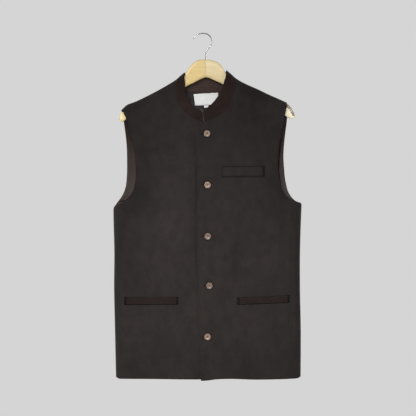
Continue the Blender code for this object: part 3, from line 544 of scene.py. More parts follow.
def sheet_of(name, grid, sign, wall, edge, materials, own_inside=True, origin=None, soft=0.0):
    """A closed sheet inwards from its outer grid, its outer points and their normals. edge is each point's distance
    from a turned edge, in metres, where the faces come together in a round fold; soft is a relief that both faces
    share on their own side; the inner face keeps the first material only at the points that own_inside names."""
    normal = normals(grid) * sign
    radius = wall / 2
    inset = np.where(edge < radius, radius - np.sqrt(np.maximum(radius**2 - (radius - edge) ** 2, 0)), 0.0)
    dent = soft * (edge > radius)
    outer = grid - normal * (inset + dent)[..., None]
    inner = grid - normal * (wall - inset - dent)[..., None]
    number = np.arange(edge.size).reshape(edge.shape)
    quads = np.stack([number[:-1, :-1], number[:-1, 1:], number[1:, 1:], number[1:, :-1]], -1).reshape(-1, 4)
    rim = np.concatenate([number[0, :-1], number[:-1, -1], number[-1, :0:-1], number[:0:-1, 0]])
    after = np.roll(rim, -1)
    walls = np.stack([rim, rim + edge.size, after + edge.size, after], -1)
    faces = np.concatenate([quads, quads[:, ::-1] + edge.size, walls]).tolist()
    own = np.broadcast_to(own_inside, edge.shape)
    slots = np.zeros(len(faces), int)
    slots[len(quads):-len(walls)] = ~(own[:-1, :-1] & own[1:, 1:]).ravel()
    place = lengths(outer)
    if origin is not None:
        place = place - place[:, origin][:, None] * (1, 0)
    made = finished(name, np.concatenate([outer.reshape(-1, 3), inner.reshape(-1, 3)]), faces,
                    np.concatenate([place.reshape(-1, 2)] * 2), materials, slots, range(2 * len(quads), len(faces)))
    return made, outer, normal


def ring_faces(count, sides):
    """Quads between rings of points that follow one another."""
    number = np.arange(count * sides).reshape(count, sides)
    after = np.roll(number, -1, axis=1)
    return list(map(tuple, np.stack([number[:-1], after[:-1], after[1:], number[1:]], -1).reshape(-1, 4)))


def tube(path, radius, sides=10):
    """Points and faces of a round bar along a path, with pointed ends."""
    path = np.asarray(path, float)
    tangent = np.gradient(path, axis=0)
    tangent /= np.linalg.norm(tangent, axis=1)[:, None]
    start = np.array([1.0, 0.0, 0.0] if abs(tangent[0, 1]) > 0.9 else [0.0, 1.0, 0.0])
    side = start - tangent[0] * (start @ tangent[0])
    angle = np.arange(sides)[:, None] * 2 * math.pi / sides
    verts = []
    for at, way in zip(path, tangent):
        side = side - way * (side @ way)
        side /= np.linalg.norm(side)
        verts.append(at + radius * (np.cos(angle) * side + np.sin(angle) * np.cross(way, side)))
    verts.append([path[0] - tangent[0] * radius * 0.6, path[-1] + tangent[-1] * radius * 0.6])
    faces, low = ring_faces(len(path), sides), len(path) * sides
    for a in range(sides):
        b = (a + 1) % sides
        faces += [(low, b, a), (low + 1, low - sides + a, low - sides + b)]
    return np.concatenate(verts), faces


def merged(name, parts, made_of):
    """One object out of several (points, faces) pairs."""
    verts, faces, base = [], [], 0
    for points, sides in parts:
        faces += [[base + i for i in face] for face in sides]
        verts.append(points)
        base += len(points)
    verts = np.concatenate(verts)
    return finished(name, verts, faces, verts[:, [0, 2]], [made_of])


def stitches(line, normal, pitch=3.2 * MM, length=2.3 * MM, radius=0.2 * MM):
    """Short threads along a line that lies on cloth, each going into it at both ends."""
    travel = travelled(line)
    rise = np.array([-1.6 * radius, STITCH_PROUD, STITCH_PROUD, -1.6 * radius])[:, None]
    parts = []
    for start in np.arange(pitch / 2, travel[-1] - length, pitch):
        at = start + np.array([0.0, 0.25, 0.75, 1.0]) * length
        parts.append(tube(on_line(at, travel, line) + on_line(at, travel, normal) * rise, radius, 4))
    return parts


def tree_of(*objects):
    """Something to cast rays at, out of the objects' finished meshes."""
    shape = bmesh.new()
    for one in objects:
        shape.from_mesh(one.data)
    tree = BVHTree.FromBMesh(shape)
    shape.free()
    return tree


def cast(tree, x, z, start_y=BEFORE_Y, way=1.0):
    """Points and normals where rays along Y first meet the tree."""
    found = np.zeros((2,) + x.shape + (3,))
    for i in np.ndindex(x.shape):
        start = Vector((x[i], start_y, z[i]))
        point, normal, _, _ = tree.ray_cast(start, Vector((0, way, 0)))
        if point is None:
            point, normal, _, _ = tree.find_nearest(start)
        found[(0,) + i], found[(1,) + i] = point, normal
    return found


def laid(tree, flat, lift, start_y=BEFORE_Y):
    """A grid of points x, z laid on the front of the cloth behind it and lifted off."""
    x, z = np.moveaxis(flat, -1, 0)
    return np.stack([x, cast(tree, x, z, start_y)[0][..., 1] - lift, z], -1)


def inward(line, distance):
    """A flat line moved to its left by a distance, in the line's own unit."""
    way = unit(np.gradient(line, axis=0))
    return line + distance * np.stack([-way[:, 1], way[:, 0]], -1)


# ---- materials ----

def set_stops(ramp, stops):
    band = ramp.color_ramp.elements
    while len(band) < len(stops):
        band.new(0.5)
    for stop, (at, colour) in zip(band, stops):
        stop.position = at
        stop.color = (*(colour if isinstance(colour, tuple) else (colour,) * 3), 1.0)


class Finish:
    """A procedural material under construction."""

    def __init__(self, name, colour, roughness, **sockets):
        self.material = bpy.data.materials.new(name)
        self.material.use_nodes = True
        self.nodes, self.links = self.material.node_tree.nodes, self.material.node_tree.links
        self.shader = self.nodes["Principled BSDF"]
        self.material.diffuse_color = (*colour, 1.0)
        for key, value in dict(base_color=colour, roughness=roughness, **sockets).items():
            self.give(self.shader.inputs[key.replace("_", " ").title().replace("Ior", "IOR")], value)

    def give(self, socket, value):
        if isinstance(value, bpy.types.NodeSocket):
            self.links.new(value, socket)
        else:
            socket.default_value = (*value, 1.0) if socket.type == "RGBA" else value

    def node(self, kind, settings=None, **inputs):
        """A node with its settings and its inputs, by name with _ for a space or by number as i0, i1 and so on."""
        made = self.nodes.new("ShaderNode" + kind)
        for key, value in (settings or {}).items():
            setattr(made, key, value)
        for key, value in inputs.items():
            self.give(made.inputs[int(key[1:]) if key[1:].isdigit() else key.replace("_", " ")], value)
        return made

    def math(self, operation, a, b=0.0, c=0.0):
        return self.node("Math", {"operation": operation}, i0=a, i1=b, i2=c).outputs[0]

    def length(self, vector):
        return self.node("VectorMath", {"operation": "LENGTH"}, i0=vector).outputs["Value"]

    def place(self, kind="UV", scale=(1, 1, 1), turn=(0, 0, 0), shift=(0, 0, 0)):
        at = self.node("TexCoord").outputs[kind]
        return self.node("Mapping", Vector=at, Scale=scale, Rotation=turn, Location=shift).outputs[0]

    def noise(self, at, scale, detail=3.0, rough=0.55):
        return self.node("TexNoise", Vector=at, Scale=scale, Detail=detail, Roughness=rough).outputs["Fac"]

    def waves(self, at, scale, direction="X", distortion=0.0, detail_scale=1.0):
        return self.node("TexWave", {"bands_direction": direction}, Vector=at, Scale=scale, Distortion=distortion,
                         Detail_Scale=detail_scale).outputs["Fac"]

    def ramp(self, fac, *stops):
        """A colour ramp whose stops are each a place and a colour, or a grey."""
        made = self.node("ValToRGB", Fac=fac)
        set_stops(made, stops)
        return made.outputs["Color"]

    def mix(self, fac, a, b, kind="MIX"):
        return self.node("Mix", {"data_type": "RGBA", "blend_type": kind}, i0=fac, i6=a, i7=b).outputs[2]

    def toned(self, base, share, fac, *stops):
        """A colour multiplied by a ramp, to a share."""
        return self.mix(share, base, self.ramp(fac, *stops), "MULTIPLY")

    def shaded(self, base, spots):
        """A colour made lighter or darker round given points, painted light and shade: x, z, half width, half height
        (mm) and gain.
        """
        if not spots:
            return base
        flat = self.place("Object", (1.0, 0.0, 1.0))
        total = 1.0
        for x, z, half, tall, gain in spots:
            near = self.node("Mapping", Vector=flat, Scale=(1 / (half * MM), 0.0, 1 / (tall * MM)),
                             Location=(-x / half, 0.0, -z / tall)).outputs[0]
            lie = self.node("MapRange", {"interpolation_type": "SMOOTHERSTEP"}, Value=self.length(near), i1=SPOT_REACH,
                            i2=0.0).outputs[0]
            total = self.math("MULTIPLY_ADD", lie, gain, total)
        return self.node("VectorMath", {"operation": "SCALE"}, i0=base, Scale=total).outputs[0]

    def done(self, colour, roughness, *bumps):
        """The material with its colour, its roughness (factor, from, to) and its bumps (height, depth, strength)."""
        self.give(self.shader.inputs["Base Color"], colour)
        if roughness:
            fac, low, high = roughness
            self.give(self.shader.inputs["Roughness"], self.node("MapRange", Value=fac, i3=low, i4=high).outputs[0])
        under = None
        for height, depth, strength in bumps:
            made = self.node("Bump", Height=height, Distance=depth, Strength=strength)
            if under:
                self.give(made.inputs["Normal"], under)
            under = made.outputs[0]
        self.give(self.shader.inputs["Normal"], under)
        return self.material


def shade(colour, by):
    return tuple(min(c * by, 1.0) for c in colour)


def bands(pitch):
    """A wave texture's scale for bands so many metres apart."""
    return 2 * math.pi / (10 * pitch)


def wool(name, colour, warm, painted_spots=()):
    """Brushed wool: a twill under a brushed face, with fibres of several shades, slow random patches, and painted light
    and shade round given spots.
    """
    made = Finish(name, colour, 0.92, sheen_weight=0.12, sheen_roughness=0.5, sheen_tint=(0.75, 0.68, 0.64),
                  specular_ior_level=0.15)
    fibres = made.noise(made.place(), 1400.0, 5.0, 0.7)
    ribs = made.waves(made.place(turn=(0, 0, TWILL_TURN)), bands(TWILL), "DIAGONAL", 1.2, 3.0)
    heather, patches, broad, mottle = (
        made.noise(made.place("Object", (1.0, 1.0, drawn)), scale, detail, rough) for drawn, scale, detail, rough in
        ((0.35, 420.0, 4.0, 0.65), (0.45, 16.0, 3.0, 0.5), (0.6, 5.5, 2.0, 0.5), (0.7, 50.0, 4.0, 0.62)))
    base = made.ramp(patches, (0.25, shade(colour, 0.84)), (0.75, shade(colour, 1.16)))
    base = made.toned(base, 1.0, broad, (0.3, 0.88), (0.7, 1.12))
    base = made.mix(made.ramp(heather, (0.42, 0.0), (0.66, 0.75)), base, warm)
    base = made.toned(base, 0.45, fibres, (0.3, 0.62), (0.7, 1.35))
    base = made.toned(base, 0.22, ribs, (0.0, 0.7), (1.0, 1.2))
    base = made.toned(made.shaded(base, painted_spots), 1.0, mottle, (0.3, 0.81), (0.7, 1.19))
    return made.done(base, (fibres, 0.84, 1.0), (ribs, 0.10 * MM, 0.7), (fibres, 0.22 * MM, 0.6))


def satin(name, colour, shine, rough, spots=()):
    """Smooth twilled lining with a soft shine."""
    made = Finish(name, colour, rough, specular_ior_level=shine)
    lines = made.waves(made.place(), bands(0.5 * MM), "DIAGONAL", 0.6, 2.0)
    uneven = made.noise(made.place(scale=(1.0, 0.3, 1.0)), 60.0, 4.0)
    base = made.ramp(uneven, (0.3, shade(colour, 0.82)), (0.75, shade(colour, 1.2)))
    base = made.shaded(made.toned(base, 0.3, lines, (0.0, 0.75), (1.0, 1.2)), spots)
    return made.done(base, (uneven, rough - 0.08, rough + 0.1), (lines, 0.04 * MM, 0.6), (uneven, 0.5 * MM, 0.25))


def ribbon(name, colour):
    """Woven label cloth with close cross ribs."""
    made = Finish(name, colour, 0.62, specular_ior_level=0.35, sheen_weight=0.1)
    at = made.place()
    weave = made.math("MULTIPLY", made.waves(at, bands(0.9 * MM), "Y", 0.3, 4.0),
                      made.waves(at, bands(0.6 * MM), "X", 0.3, 4.0))
    base = made.ramp(made.noise(at, 90.0, 4.0), (0.3, shade(colour, 0.93)), (0.7, shade(colour, 1.03)))
    return made.done(made.toned(base, 0.35, weave, (0.0, 0.8), (0.6, 1.0)), None, (weave, 0.08 * MM, 0.8))


def horn(name, seed, painted_dimming):
    """Turned horn-look button: pale tan with browner veins, brown in its middle as painted shade of its dish, and dark
    at its rim.
    """
    made = Finish(name, (0.42, 0.32, 0.24), 0.38, specular_ior_level=0.45, coat_weight=0.15, coat_roughness=0.3)
    at = made.place("Object", turn=(0.2, seed * 1.3, 0.4), shift=(seed * 0.37, 0.0, 0.0))
    cloud = made.noise(at, 260.0, 5.0, 0.6)
    # the horn darkened by this button's share, painted shade
    base = made.ramp(cloud, *((place, shade(colour, painted_dimming)) for place, colour in HORN))
    base = made.mix(made.math("MULTIPLY", made.waves(at, 90.0, "X", 6.0, 2.2), 0.35), base, (0.13, 0.08, 0.052))
    out = made.math("MULTIPLY", made.length(made.place()), 100.0)
    base = made.mix(made.ramp(out, (0.14, 0.8), (0.34, 0.0)), base, (0.12, 0.062, 0.03))
    base = made.mix(made.ramp(out, (0.70, 0.0), (0.82, 1.0)), base, (0.055, 0.030, 0.017))
    return made.done(base, (cloud, 0.3, 0.5), (cloud, 0.08 * MM, 0.4))


def lacquered(name, turn, pale, mid, brown):
    """Clear-lacquered pale wood with its grain along the arm."""
    made = Finish(name, mid, 0.42, specular_ior_level=0.4, coat_weight=0.35, coat_roughness=0.22)
    long = made.place("Object", (1.0, 4.0, 14.0), (0, turn, 0))
    pores = made.noise(made.place("Object", (30.0, 400.0, 700.0), (0, turn, 0)), 1.0, 4.0, 0.6)
    base = made.ramp(made.waves(long, 14.0, "Z", 3.5, 1.2), (0.0, pale), (0.6, mid), (0.95, brown))
    base = made.mix(0.35, base, made.ramp(made.noise(long, 9.0, 4.0), (0.3, shade(mid, 0.9)), (0.7, pale)))
    base = made.toned(base, 0.18, pores, (0.35, (0.62, 0.52, 0.4)), (0.55, 1.0))
    return made.done(base, (pores, 0.36, 0.5), (pores, 0.05 * MM, 0.5))


def steel(name):
    made = Finish(name, (0.36, 0.36, 0.37), 0.24, metallic=1.0)
    scratches = made.noise(made.place("Object", (900.0, 900.0, 900.0)), 1.0, 3.0)
    base = made.ramp(scratches, (0.3, (0.30, 0.30, 0.31)), (0.7, (0.42, 0.42, 0.43)))
    return made.done(base, (scratches, 0.18, 0.34), (scratches, 0.02 * MM, 0.3))


def thread(name, colour):
    made = Finish(name, colour, 0.85, specular_ior_level=0.12)
    twist = made.waves(made.place("Object", turn=(0.6, 0.5, 0.3)), bands(0.5 * MM), "DIAGONAL")
    base = made.ramp(twist, (0.0, shade(colour, 0.7)), (1.0, shade(colour, 1.25)))
    return made.done(base, None, (twist, 0.08 * MM, 0.6))


# ---- cloth of the body ----

def uneven(rows, x, z):
    return sum(size * noise(x, z * stretch, seed, scale) for size, stretch, seed, scale in rows)


def front_relief(x, z):
    """Unevenness of the fronts, in millimetres inwards: slow waves, pulls round the buttons, dips at the welts."""
    depth = uneven(FRONT_WAVES, x, z)
    for bx, bz in BUTTONS:
        far = np.hypot(x - bx, (z - bz) * 0.9)
        depth += 2.4 * np.exp(-(far / 12.5) ** 4) - 0.4 * bell(far - 21.0, 7.0)
        depth += 0.35 * bell(z - bz, 5.0) * bell(x - bx + 14.0, 12.0)
    for corners, size in POCKET_DIPS:
        for a, b in zip(corners, corners[1:] + corners[:1]):
            from_side_of = to_edge(np.stack([x, z], -1), np.array([a, b], float))
            depth += size * (0.7 * bell(from_side_of, 5.5) - 0.35 * bell(from_side_of, 15.0))
            far = np.hypot(x - a[0], z - a[1])
            depth += 0.35 * bell(far, 14.0) * np.sin(far / 4.0)
    return depth


def body_sheet(points, front, sides, shoulders, neck, free):
    """Outer points of a body panel and each point's distance from its turned edges, the hem first among them."""
    x, z = np.moveaxis(points, -1, 0)
    outward = -1.0 if front else 1.0
    side, shoulder, collar, edge, hem = (to_edge(points, *map(line_of, tables)) for tables in
                                         (sides, shoulders, [neck], free, free[:1]))
    soft = front_relief(x, z) if front else uneven(BACK_WAVES, x, z)
    soft *= ease(side / 12.0) * ease(shoulder / 16.0) * ease(collar / 10.0)
    # the stitch line's dip and small puckers along the turned edges, the collar's seam and the hem's turning
    pucker = noise(x, z, PUCKER_SEED, 13.0) * bell(edge, 9.0)
    soft += (0.26 * bell(edge - STITCH_IN, 1.2) + 0.16 * pucker) * ease(side / 3.0)
    soft += 0.5 * bell(collar, 1.6) + 0.12 * bell(hem - HEM_TURN, 1.6)
    y = body_y(x * MM, z * MM, front) - outward * soft * MM
    y += outward * (SEAM_GAP / 2 + SEAM_LAND * ease(side / 0.4) * ease(shoulder / 0.6))
    lifted = HEM_CORNER * bell(side, HEM_CORNER) * bell(hem, HEM_TURN) * 0.8
    moved = sum(bell(np.hypot(x - tip_x, z - tip_z), reach)[..., None] * shift
                for tip_x, tip_z, reach, shift in TIP_MOVES)
    return np.stack([(x + moved[..., 0]) * MM, y, (z + moved[..., 1] + lifted) * MM], -1), edge * MM


# a panel of the body: its outer points, their distances from its turned edges, where its inside is wool too, and
# the shares up and across it
Panel = namedtuple("Panel", "grid edge own_inside rows across")


def front_sheet(side):
    hem, seam, armhole, closing, lap = (table[side] for table in (HEM, SIDE_SEAM, FRONT_ARMHOLE, FRONT_EDGE, LAP_TOP))
    shoulder, neck = SHOULDER_SEAM[side], COLLAR_FRONT[side]
    near, turned = SIDE_STEPS / FRONT_SPAN, 1 - EDGE_STEPS[::-1] / FRONT_SPAN
    across, rows = np.concatenate([near, run(near[-1], turned[0], 3.4, FRONT_SPAN), turned[1:]]), fine_rows()
    v, u = np.meshgrid(rows, across, indexing="ij")
    points = patch(u, v, join((UNDERARM_V, seam), (1.0, armhole)),
                   join((NECK_BASE_V, closing), (LAP_END_V, lap), (1.0, neck)), along(hem), along(shoulder))
    grid, edge = body_sheet(points, True, [seam], [shoulder], neck, [hem, armhole, closing, lap])
    if side == "right":
        grid[..., 1] += OVERLAP_STEP * ease((grid[..., 0] - OVERLAP_FROM_X) / OVERLAP_RUN)
        grid[..., 1] += LAP_DENT * bell(to_edge(points, line_of(FRONT_EDGE["left"])), 7.0)
    faced = to_edge(points, np.concatenate([line_of(closing), line_of(lap)])) < FACING_WIDTH
    return Panel(grid, edge, faced | (to_edge(points, line_of(hem)) < HEM_TURN), rows, across)


def back_sheet():
    neck_from, neck_to = BACK_NECK_U
    near = SIDE_STEPS / BACK_SPAN
    across = np.concatenate([near, run(near[-1], neck_from, 3.6, BACK_SPAN), run(neck_from, neck_to, 3.0, BACK_SPAN),
                             run(neck_to, 1 - near[-1], 3.6, BACK_SPAN), 1 - near[-2::-1]])
    rows = fine_rows()
    v, u = np.meshgrid(rows, across, indexing="ij")
    left, right = (join((UNDERARM_V, SIDE_SEAM[side]), (1.0, BACK_ARMHOLE[side])) for side, _ in SIDES)
    top = join((neck_from, SHOULDER_SEAM["right"]), (neck_to, COLLAR_BACK), (1.0, SHOULDER_SEAM["left"][::-1]))
    points = patch(u, v, left, right, along(BACK_HEM), top)
    grid, edge = body_sheet(points, False, SIDE_SEAM.values(), SHOULDER_SEAM.values(), COLLAR_BACK,
                            [BACK_HEM, *BACK_ARMHOLE.values()])
    return Panel(grid, edge, to_edge(points, line_of(BACK_HEM)) < HEM_TURN, rows, across)


# ---- collar ----

def collar_base(left, right, back):
    """Points along the neck seam from the wearer's left collar end to the right, the way up from each, the lean and
    the distance from the nearer end."""
    neck_from, neck_to = BACK_NECK_U
    first, inner = np.argmin(np.abs(left.rows - LAP_END_V)), np.argmin(np.abs(left.across - COLLAR_FOOT_U))
    neck = np.flatnonzero((back.across > neck_from - 1e-6) & (back.across < neck_to + 1e-6))[::-1]
    share = (left.rows[first:-1] - LAP_END_V) / (1 - LAP_END_V)
    behind = (back.across[neck] - neck_from) / (neck_to - neck_from)
    leans = [along(COLLAR_FRONT["left"])(share), along(COLLAR_BACK)(behind),
             along(COLLAR_FRONT["right"])(share)[::-1]]
    base, below = (np.concatenate([left.grid[first:-1, column], back.grid[row, neck],
                                   right.grid[-2:first - 1:-1, column]]) for column, row in ((-1, -1), (inner, -3)))
    travel = travelled(base)
    keep = np.concatenate([[True], np.diff(travel) > 0.2 * MM])
    travel, steps = travel[keep], EDGE_STEPS * MM
    at = np.concatenate([steps, np.arange(7.0 * MM, travel[-1] - 6.0 * MM, 2.2 * MM), travel[-1] - steps[::-1]])
    even = np.arange(0, travel[-1] + MM, MM)

    def sampled(values, width):
        """Values at the steps along the seam, smoothed over so many millimetres."""
        fine = on_line(even, travel, values[keep])
        if width:
            kernel = bell(np.arange(-3 * width, 3 * width + 1), width)
            padded = np.pad(fine, ((3 * width, 3 * width), (0, 0)), mode="edge")
            fine = np.stack([np.convolve(column, kernel / kernel.sum(), mode="valid") for column in padded.T], -1)
        return on_line(at, even, fine)

    up = sampled(unit(base - below), 8)
    lean, base = sampled(np.concatenate(leans)[:, 2:5] * MM, 5), sampled(base, 0)
    tangent = unit(np.gradient(base, axis=0))
    up -= (up * tangent).sum(1)[:, None] * tangent
    return base, unit(up), lean, np.minimum(at, at[-1] - at)


def collar_sheet(left, right, back):
    """Outer points of the collar, their distances from its edges and their shares of its height."""
    base, up, lean, from_end = collar_base(left, right, back)
    height = np.linalg.norm(lean, axis=1)
    land = base + up * (SEAM_GAP + SEAM_LAND)
    bend = land + COLLAR_BEND * height[:, None] * (COLLAR_STAND * up + (1 - COLLAR_STAND) * lean / height[:, None])
    top_steps = 1 - EDGE_STEPS[::-1] / COLLAR_HEIGHT
    corner = np.maximum(COLLAR_CORNER - from_end, 0)
    reach = 1 - (COLLAR_CORNER - np.sqrt(COLLAR_CORNER**2 - corner**2)) / height
    into = unit(np.cross(np.gradient(base, axis=0), up))
    into *= -np.sign(into[len(into) // 2, 1])
    # the seam allowance turns in under the band's foot
    grid = [base - up * 1.6 * MM + into * 1.1 * MM, base - up * 0.1 * MM + into * 0.9 * MM, base + up * SEAM_GAP]
    edge, share = [np.minimum(height, from_end)] * 3, [np.zeros(len(base))] * 3
    for one in np.concatenate([np.linspace(0, top_steps[0], 46)[:-1], top_steps]):
        t = (one * reach)[:, None]
        grid.append((1 - t) ** 2 * land + 2 * t * (1 - t) * bend + t * t * (base + lean))
        edge.append(np.minimum((1 - one) * height * reach, from_end))
        share.append(np.full(len(base), one))
    return np.array(grid), np.array(edge), np.array(share)


def channels(share, rows, depth, width):
    """Dips of parallel stitched rows at even shares of a height."""
    return sum((depth * bell(share - one, width) for one in rows), np.zeros_like(share))


# ---- the object ----

def put(piece, slot_name, *nodes):
    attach(piece, "root")
    if nodes:
        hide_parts(*nodes)
    return piece


wools = {name: wool("wool_" + name, *row) for name, row in WOOLS.items()}
satins = {name: satin("satin_" + name, *row) for name, row in SATINS.items()}
woods = {name: lacquered("wood_" + name, *row) for name, row in WOODS.items()}
threads = {name: [] for name in THREADS}
panels = {}

fronts = {side: front_sheet(side) for side, _ in SIDES}
back = back_sheet()
for side, sign in SIDES:
    made = sheet_of("front_%s_cloth" % side, fronts[side].grid, -sign, WALL, fronts[side].edge,
                    [wools["body"], satins["lining"]], fronts[side].own_inside, -1)[0]
    panels[side] = put(made, "body_wool", "front_" + side)
made = sheet_of("back_cloth", back.grid, -1, WALL, back.edge, [wools["back"], satins["lining"]], back.own_inside,
                len(back.across) // 2)[0]
panels["back"] = put(made, "body_wool", "back")

collar_grid, collar_edge, collar_share = collar_sheet(fronts["left"], fronts["right"], back)
collar, collar_outer, collar_normal = sheet_of(
    "collar_cloth", collar_grid, 1, COLLAR_WALL, collar_edge, [wools["collar"], wools["collar_inside"]], False,
    len(collar_grid[0]) // 2, channels(collar_share, COLLAR_ROWS, ROW_DEPTH, 0.034))
panels["collar"] = put(collar, "collar_wool", "collar")

for name, cloth, row_from, row_to, from_u, to_u in FACINGS:
    r, c = (np.flatnonzero((shares > low) & (shares < high)) for shares, low, high in
            ((back.rows, row_from, row_to), (back.across, from_u, to_u)))
    block = (back.grid + normals(back.grid) * LINING_GAP)[r[0]:r[-1] + 1, c[0]:c[-1] + 1]
    made = sheet_of(name + "_cloth", block, -1, LINING_WALL, rim_of(block), [satins[cloth]])[0]
    panels[name] = put(made, "lining", name)

# label and size tab
inside = tree_of(panels["neck_facing"])
label_cloth = ribbon("ribbon_label", RIBBON)
for name, corners, columns, rows, lift, at_foot, by_top in RIBBONS:
    v, u = np.meshgrid(np.linspace(0, 1, rows), np.linspace(0, 1, columns), indexing="ij")
    bulge = lift * np.sin(math.pi * u) ** 0.6 * (0.6 + 0.4 * np.cos(5 * u + 2 * v)) * (at_foot + by_top * v)
    grid = laid(inside, between(corners, u, v), SEAM_GAP + LABEL_WALL + bulge, INSIDE_Y)
    panels[name], outer, normal = sheet_of(name + "_ribbon", grid, 1, LABEL_WALL, rim_of(grid), [label_cloth])
    put(panels[name], "label_ribbon", name)
    if name == "label":
        for column in (2, -3):
            threads["pale"] += stitches(outer[1:-1, column], normal[1:-1, column], 1.7 * MM, 1.2 * MM, 0.16 * MM)


def strip(corners, inset):
    """Points x, z of a welt set in from its corners, shares across and up it, and distances from its edges."""
    wide, tall = (np.linalg.norm(np.subtract(corners[k], corners[0])) for k in (1, 3))
    left, right, foot, top = inset[0], wide - inset[1], inset[2], tall - inset[3]
    steps = np.array([0.0, 0.15, 0.5, 1.0, 1.7])
    u, v = (np.concatenate([low + steps, np.linspace(low + step, high - step, count), high - steps[::-1]])
            for low, high, step, count in ((left, right, 2.6, 56), (foot, top, 2.4, 22)))
    v, u = np.meshgrid(v, u, indexing="ij")
    rim = np.minimum(np.minimum(u - left, right - u), np.minimum(v - foot, top - v))
    return (between(corners, u / wide, v / tall), (u - left) / (right - left), (v - foot) / (top - foot),
            np.maximum(rim, 0.0) * MM)


# pockets: a near-black sheet under the welt, which shows as the mouth and paints the shade of the seams round it, the
# welt on it, and bar tacks across its ends
for name, side, corners, cloth, slot_name, rise, ribs, inset in POCKETS:
    breast = name == "breast"
    welt_name = "breast_welt" if breast else "pocket_welt_" + side
    tree = tree_of(panels[side])
    flat, _, _, rim = strip(corners, (0, 0, -0.6, 0))
    mouth_and_shade = sheet_of(name + "_facing_cloth", laid(tree, flat, MOUTH_SHADE_RISE), 1, MOUTH_SHADE_WALL, rim,
                      [satins["breast" if breast else "pocket"]])[0]
    panels[name + "_facing"] = put(mouth_and_shade, "lining")
    flat, across, up, rim = strip(corners, inset)
    bow = np.sin(math.pi * across) * breast
    flat[..., 1] -= 1.1 * MM * bow * up
    lift = rise * (0.8 + 0.2 * (1 - np.exp(-rim / (3.0 * MM))))
    lift += 0.12 * MM * noise(flat[..., 0] / MM, flat[..., 1] / MM, WELT_SEED, 22.0)
    lift += 0.8 * MM * ease((up - 0.6) / 0.4) * bow**0.5 - channels(up, ribs, 0.95 * MM, 0.075)
    welt, outer, normal = sheet_of(welt_name + "_cloth", laid(tree, flat, lift), 1, rise - SEAM_GAP, rim,
                                   [wools[cloth]])
    panels[welt_name] = put(welt, slot_name, welt_name)
    for rib in ribs:
        row = np.argmin(np.abs(up[:, 0] - rib))
        threads["dark"] += stitches(outer[row, 3:-3], normal[row, 3:-3], radius=0.34 * MM)
    over = tree_of(panels[side], mouth_and_shade, welt)
    for (low_x, low_z), (high_x, high_z), wide, way in ((corners[0], corners[3], inset[0], 1),
                                                        (corners[1], corners[2], inset[1], -1)):
        for k in np.arange(0.6, wide, 0.62):
            found, _ = cast(over, (np.linspace(low_x, high_x, 12) + way * k) * MM,
                            np.linspace(low_z + 0.8, high_z - 0.8, 12) * MM)
            found[:, 1] -= 0.05 * MM
            found[[0, -1], 1] += 0.6 * MM
            threads["dark"].append(tube(found, 0.32 * MM, 5))

# top stitching of the turned edges
lap_edge = np.concatenate([line_of(FRONT_EDGE["left"], 240), line_of(LAP_TOP["left"], 40)[1:]])
turned = [(side, line_of(FRONT_ARMHOLE[side], 240), -sign, slice(14, -10), BEFORE_Y, 1) for side, sign in SIDES]
turned.append(("left", lap_edge, 1, slice(3, -6), BEFORE_Y, 1))
turned += [("back", line_of(BACK_ARMHOLE[side], 240), -sign, slice(14, -10), BEHIND_Y, -1) for side, sign in SIDES]
for name, edge, sign, keep, start_y, way in turned:
    x, z = inward(edge, sign * STITCH_IN)[keep].T * MM
    threads["dark"] += stitches(*cast(tree_of(panels[name]), x, z, start_y, way))

# stitched rows of the collar, outside and inside, and the lining's edge, which shows at its opening
for height in COLLAR_ROWS:
    row = np.argmin(np.abs(collar_share[:, 0] - height))
    line, way = collar_outer[row, 4:-4], collar_normal[row, 4:-4]
    threads["dark"] += stitches(line, way)
    threads["rose"] += stitches(line - way * (COLLAR_WALL - 2 * ROW_DEPTH), -way, radius=0.28 * MM)
threads["rose"] += [tube(collar_outer[5:-2, 0] + collar_normal[5:-2, 0] * 0.1 * MM, 0.65 * MM, 8),
                    tube(collar_outer[-2, -9:-1] + collar_normal[-2, -9:-1] * 0.2 * MM, 0.9 * MM, 8)]


def pierced(name, radius, seed):
    """A turned button lying in XY with four holes, its back at z = 0."""
    profile = smooth(np.linspace(0, 1, 30), *zip(*[(t, (r, h)) for t, r, h in BUTTON_PROFILE]))
    around = np.arange(72) * 2 * math.pi / 72
    reach = np.maximum(profile[:, :1], 0.001) * radius
    points = np.stack(np.broadcast_arrays(reach * np.cos(around), reach * np.sin(around),
                                          profile[:, 1:] * BUTTON_THICKNESS), -1).reshape(-1, 3)
    faces = ring_faces(30, 72) + [range(71, -1, -1), range(29 * 72, 30 * 72)]
    made_of = horn("horn_" + name, seed, BUTTON_PAINTED_SHADE[seed - 1])
    made = finished(name, points, faces, points[:, :2], [made_of])
    bores = [tube([(a * HOLE_PLACE, b * HOLE_PLACE, h * BUTTON_THICKNESS) for h in (-1, 3)], HOLE_RADIUS, 20)
             for a, b in ((-1, -1), (1, -1), (1, 1), (-1, 1))]
    cutter = merged(name + "_bores", bores, made_of)
    cut = made.modifiers.new("holes", "BOOLEAN")
    cut.operation, cut.solver, cut.object = "DIFFERENCE", "EXACT", cutter
    mesh = bpy.data.meshes.new_from_object(made.evaluated_get(bpy.context.evaluated_depsgraph_get()))
    made.modifiers.clear()
    made.data = mesh
    bpy.data.objects.remove(cutter, do_unlink=True)
    mesh.set_sharp_from_angle(angle=math.radians(40))
    return made


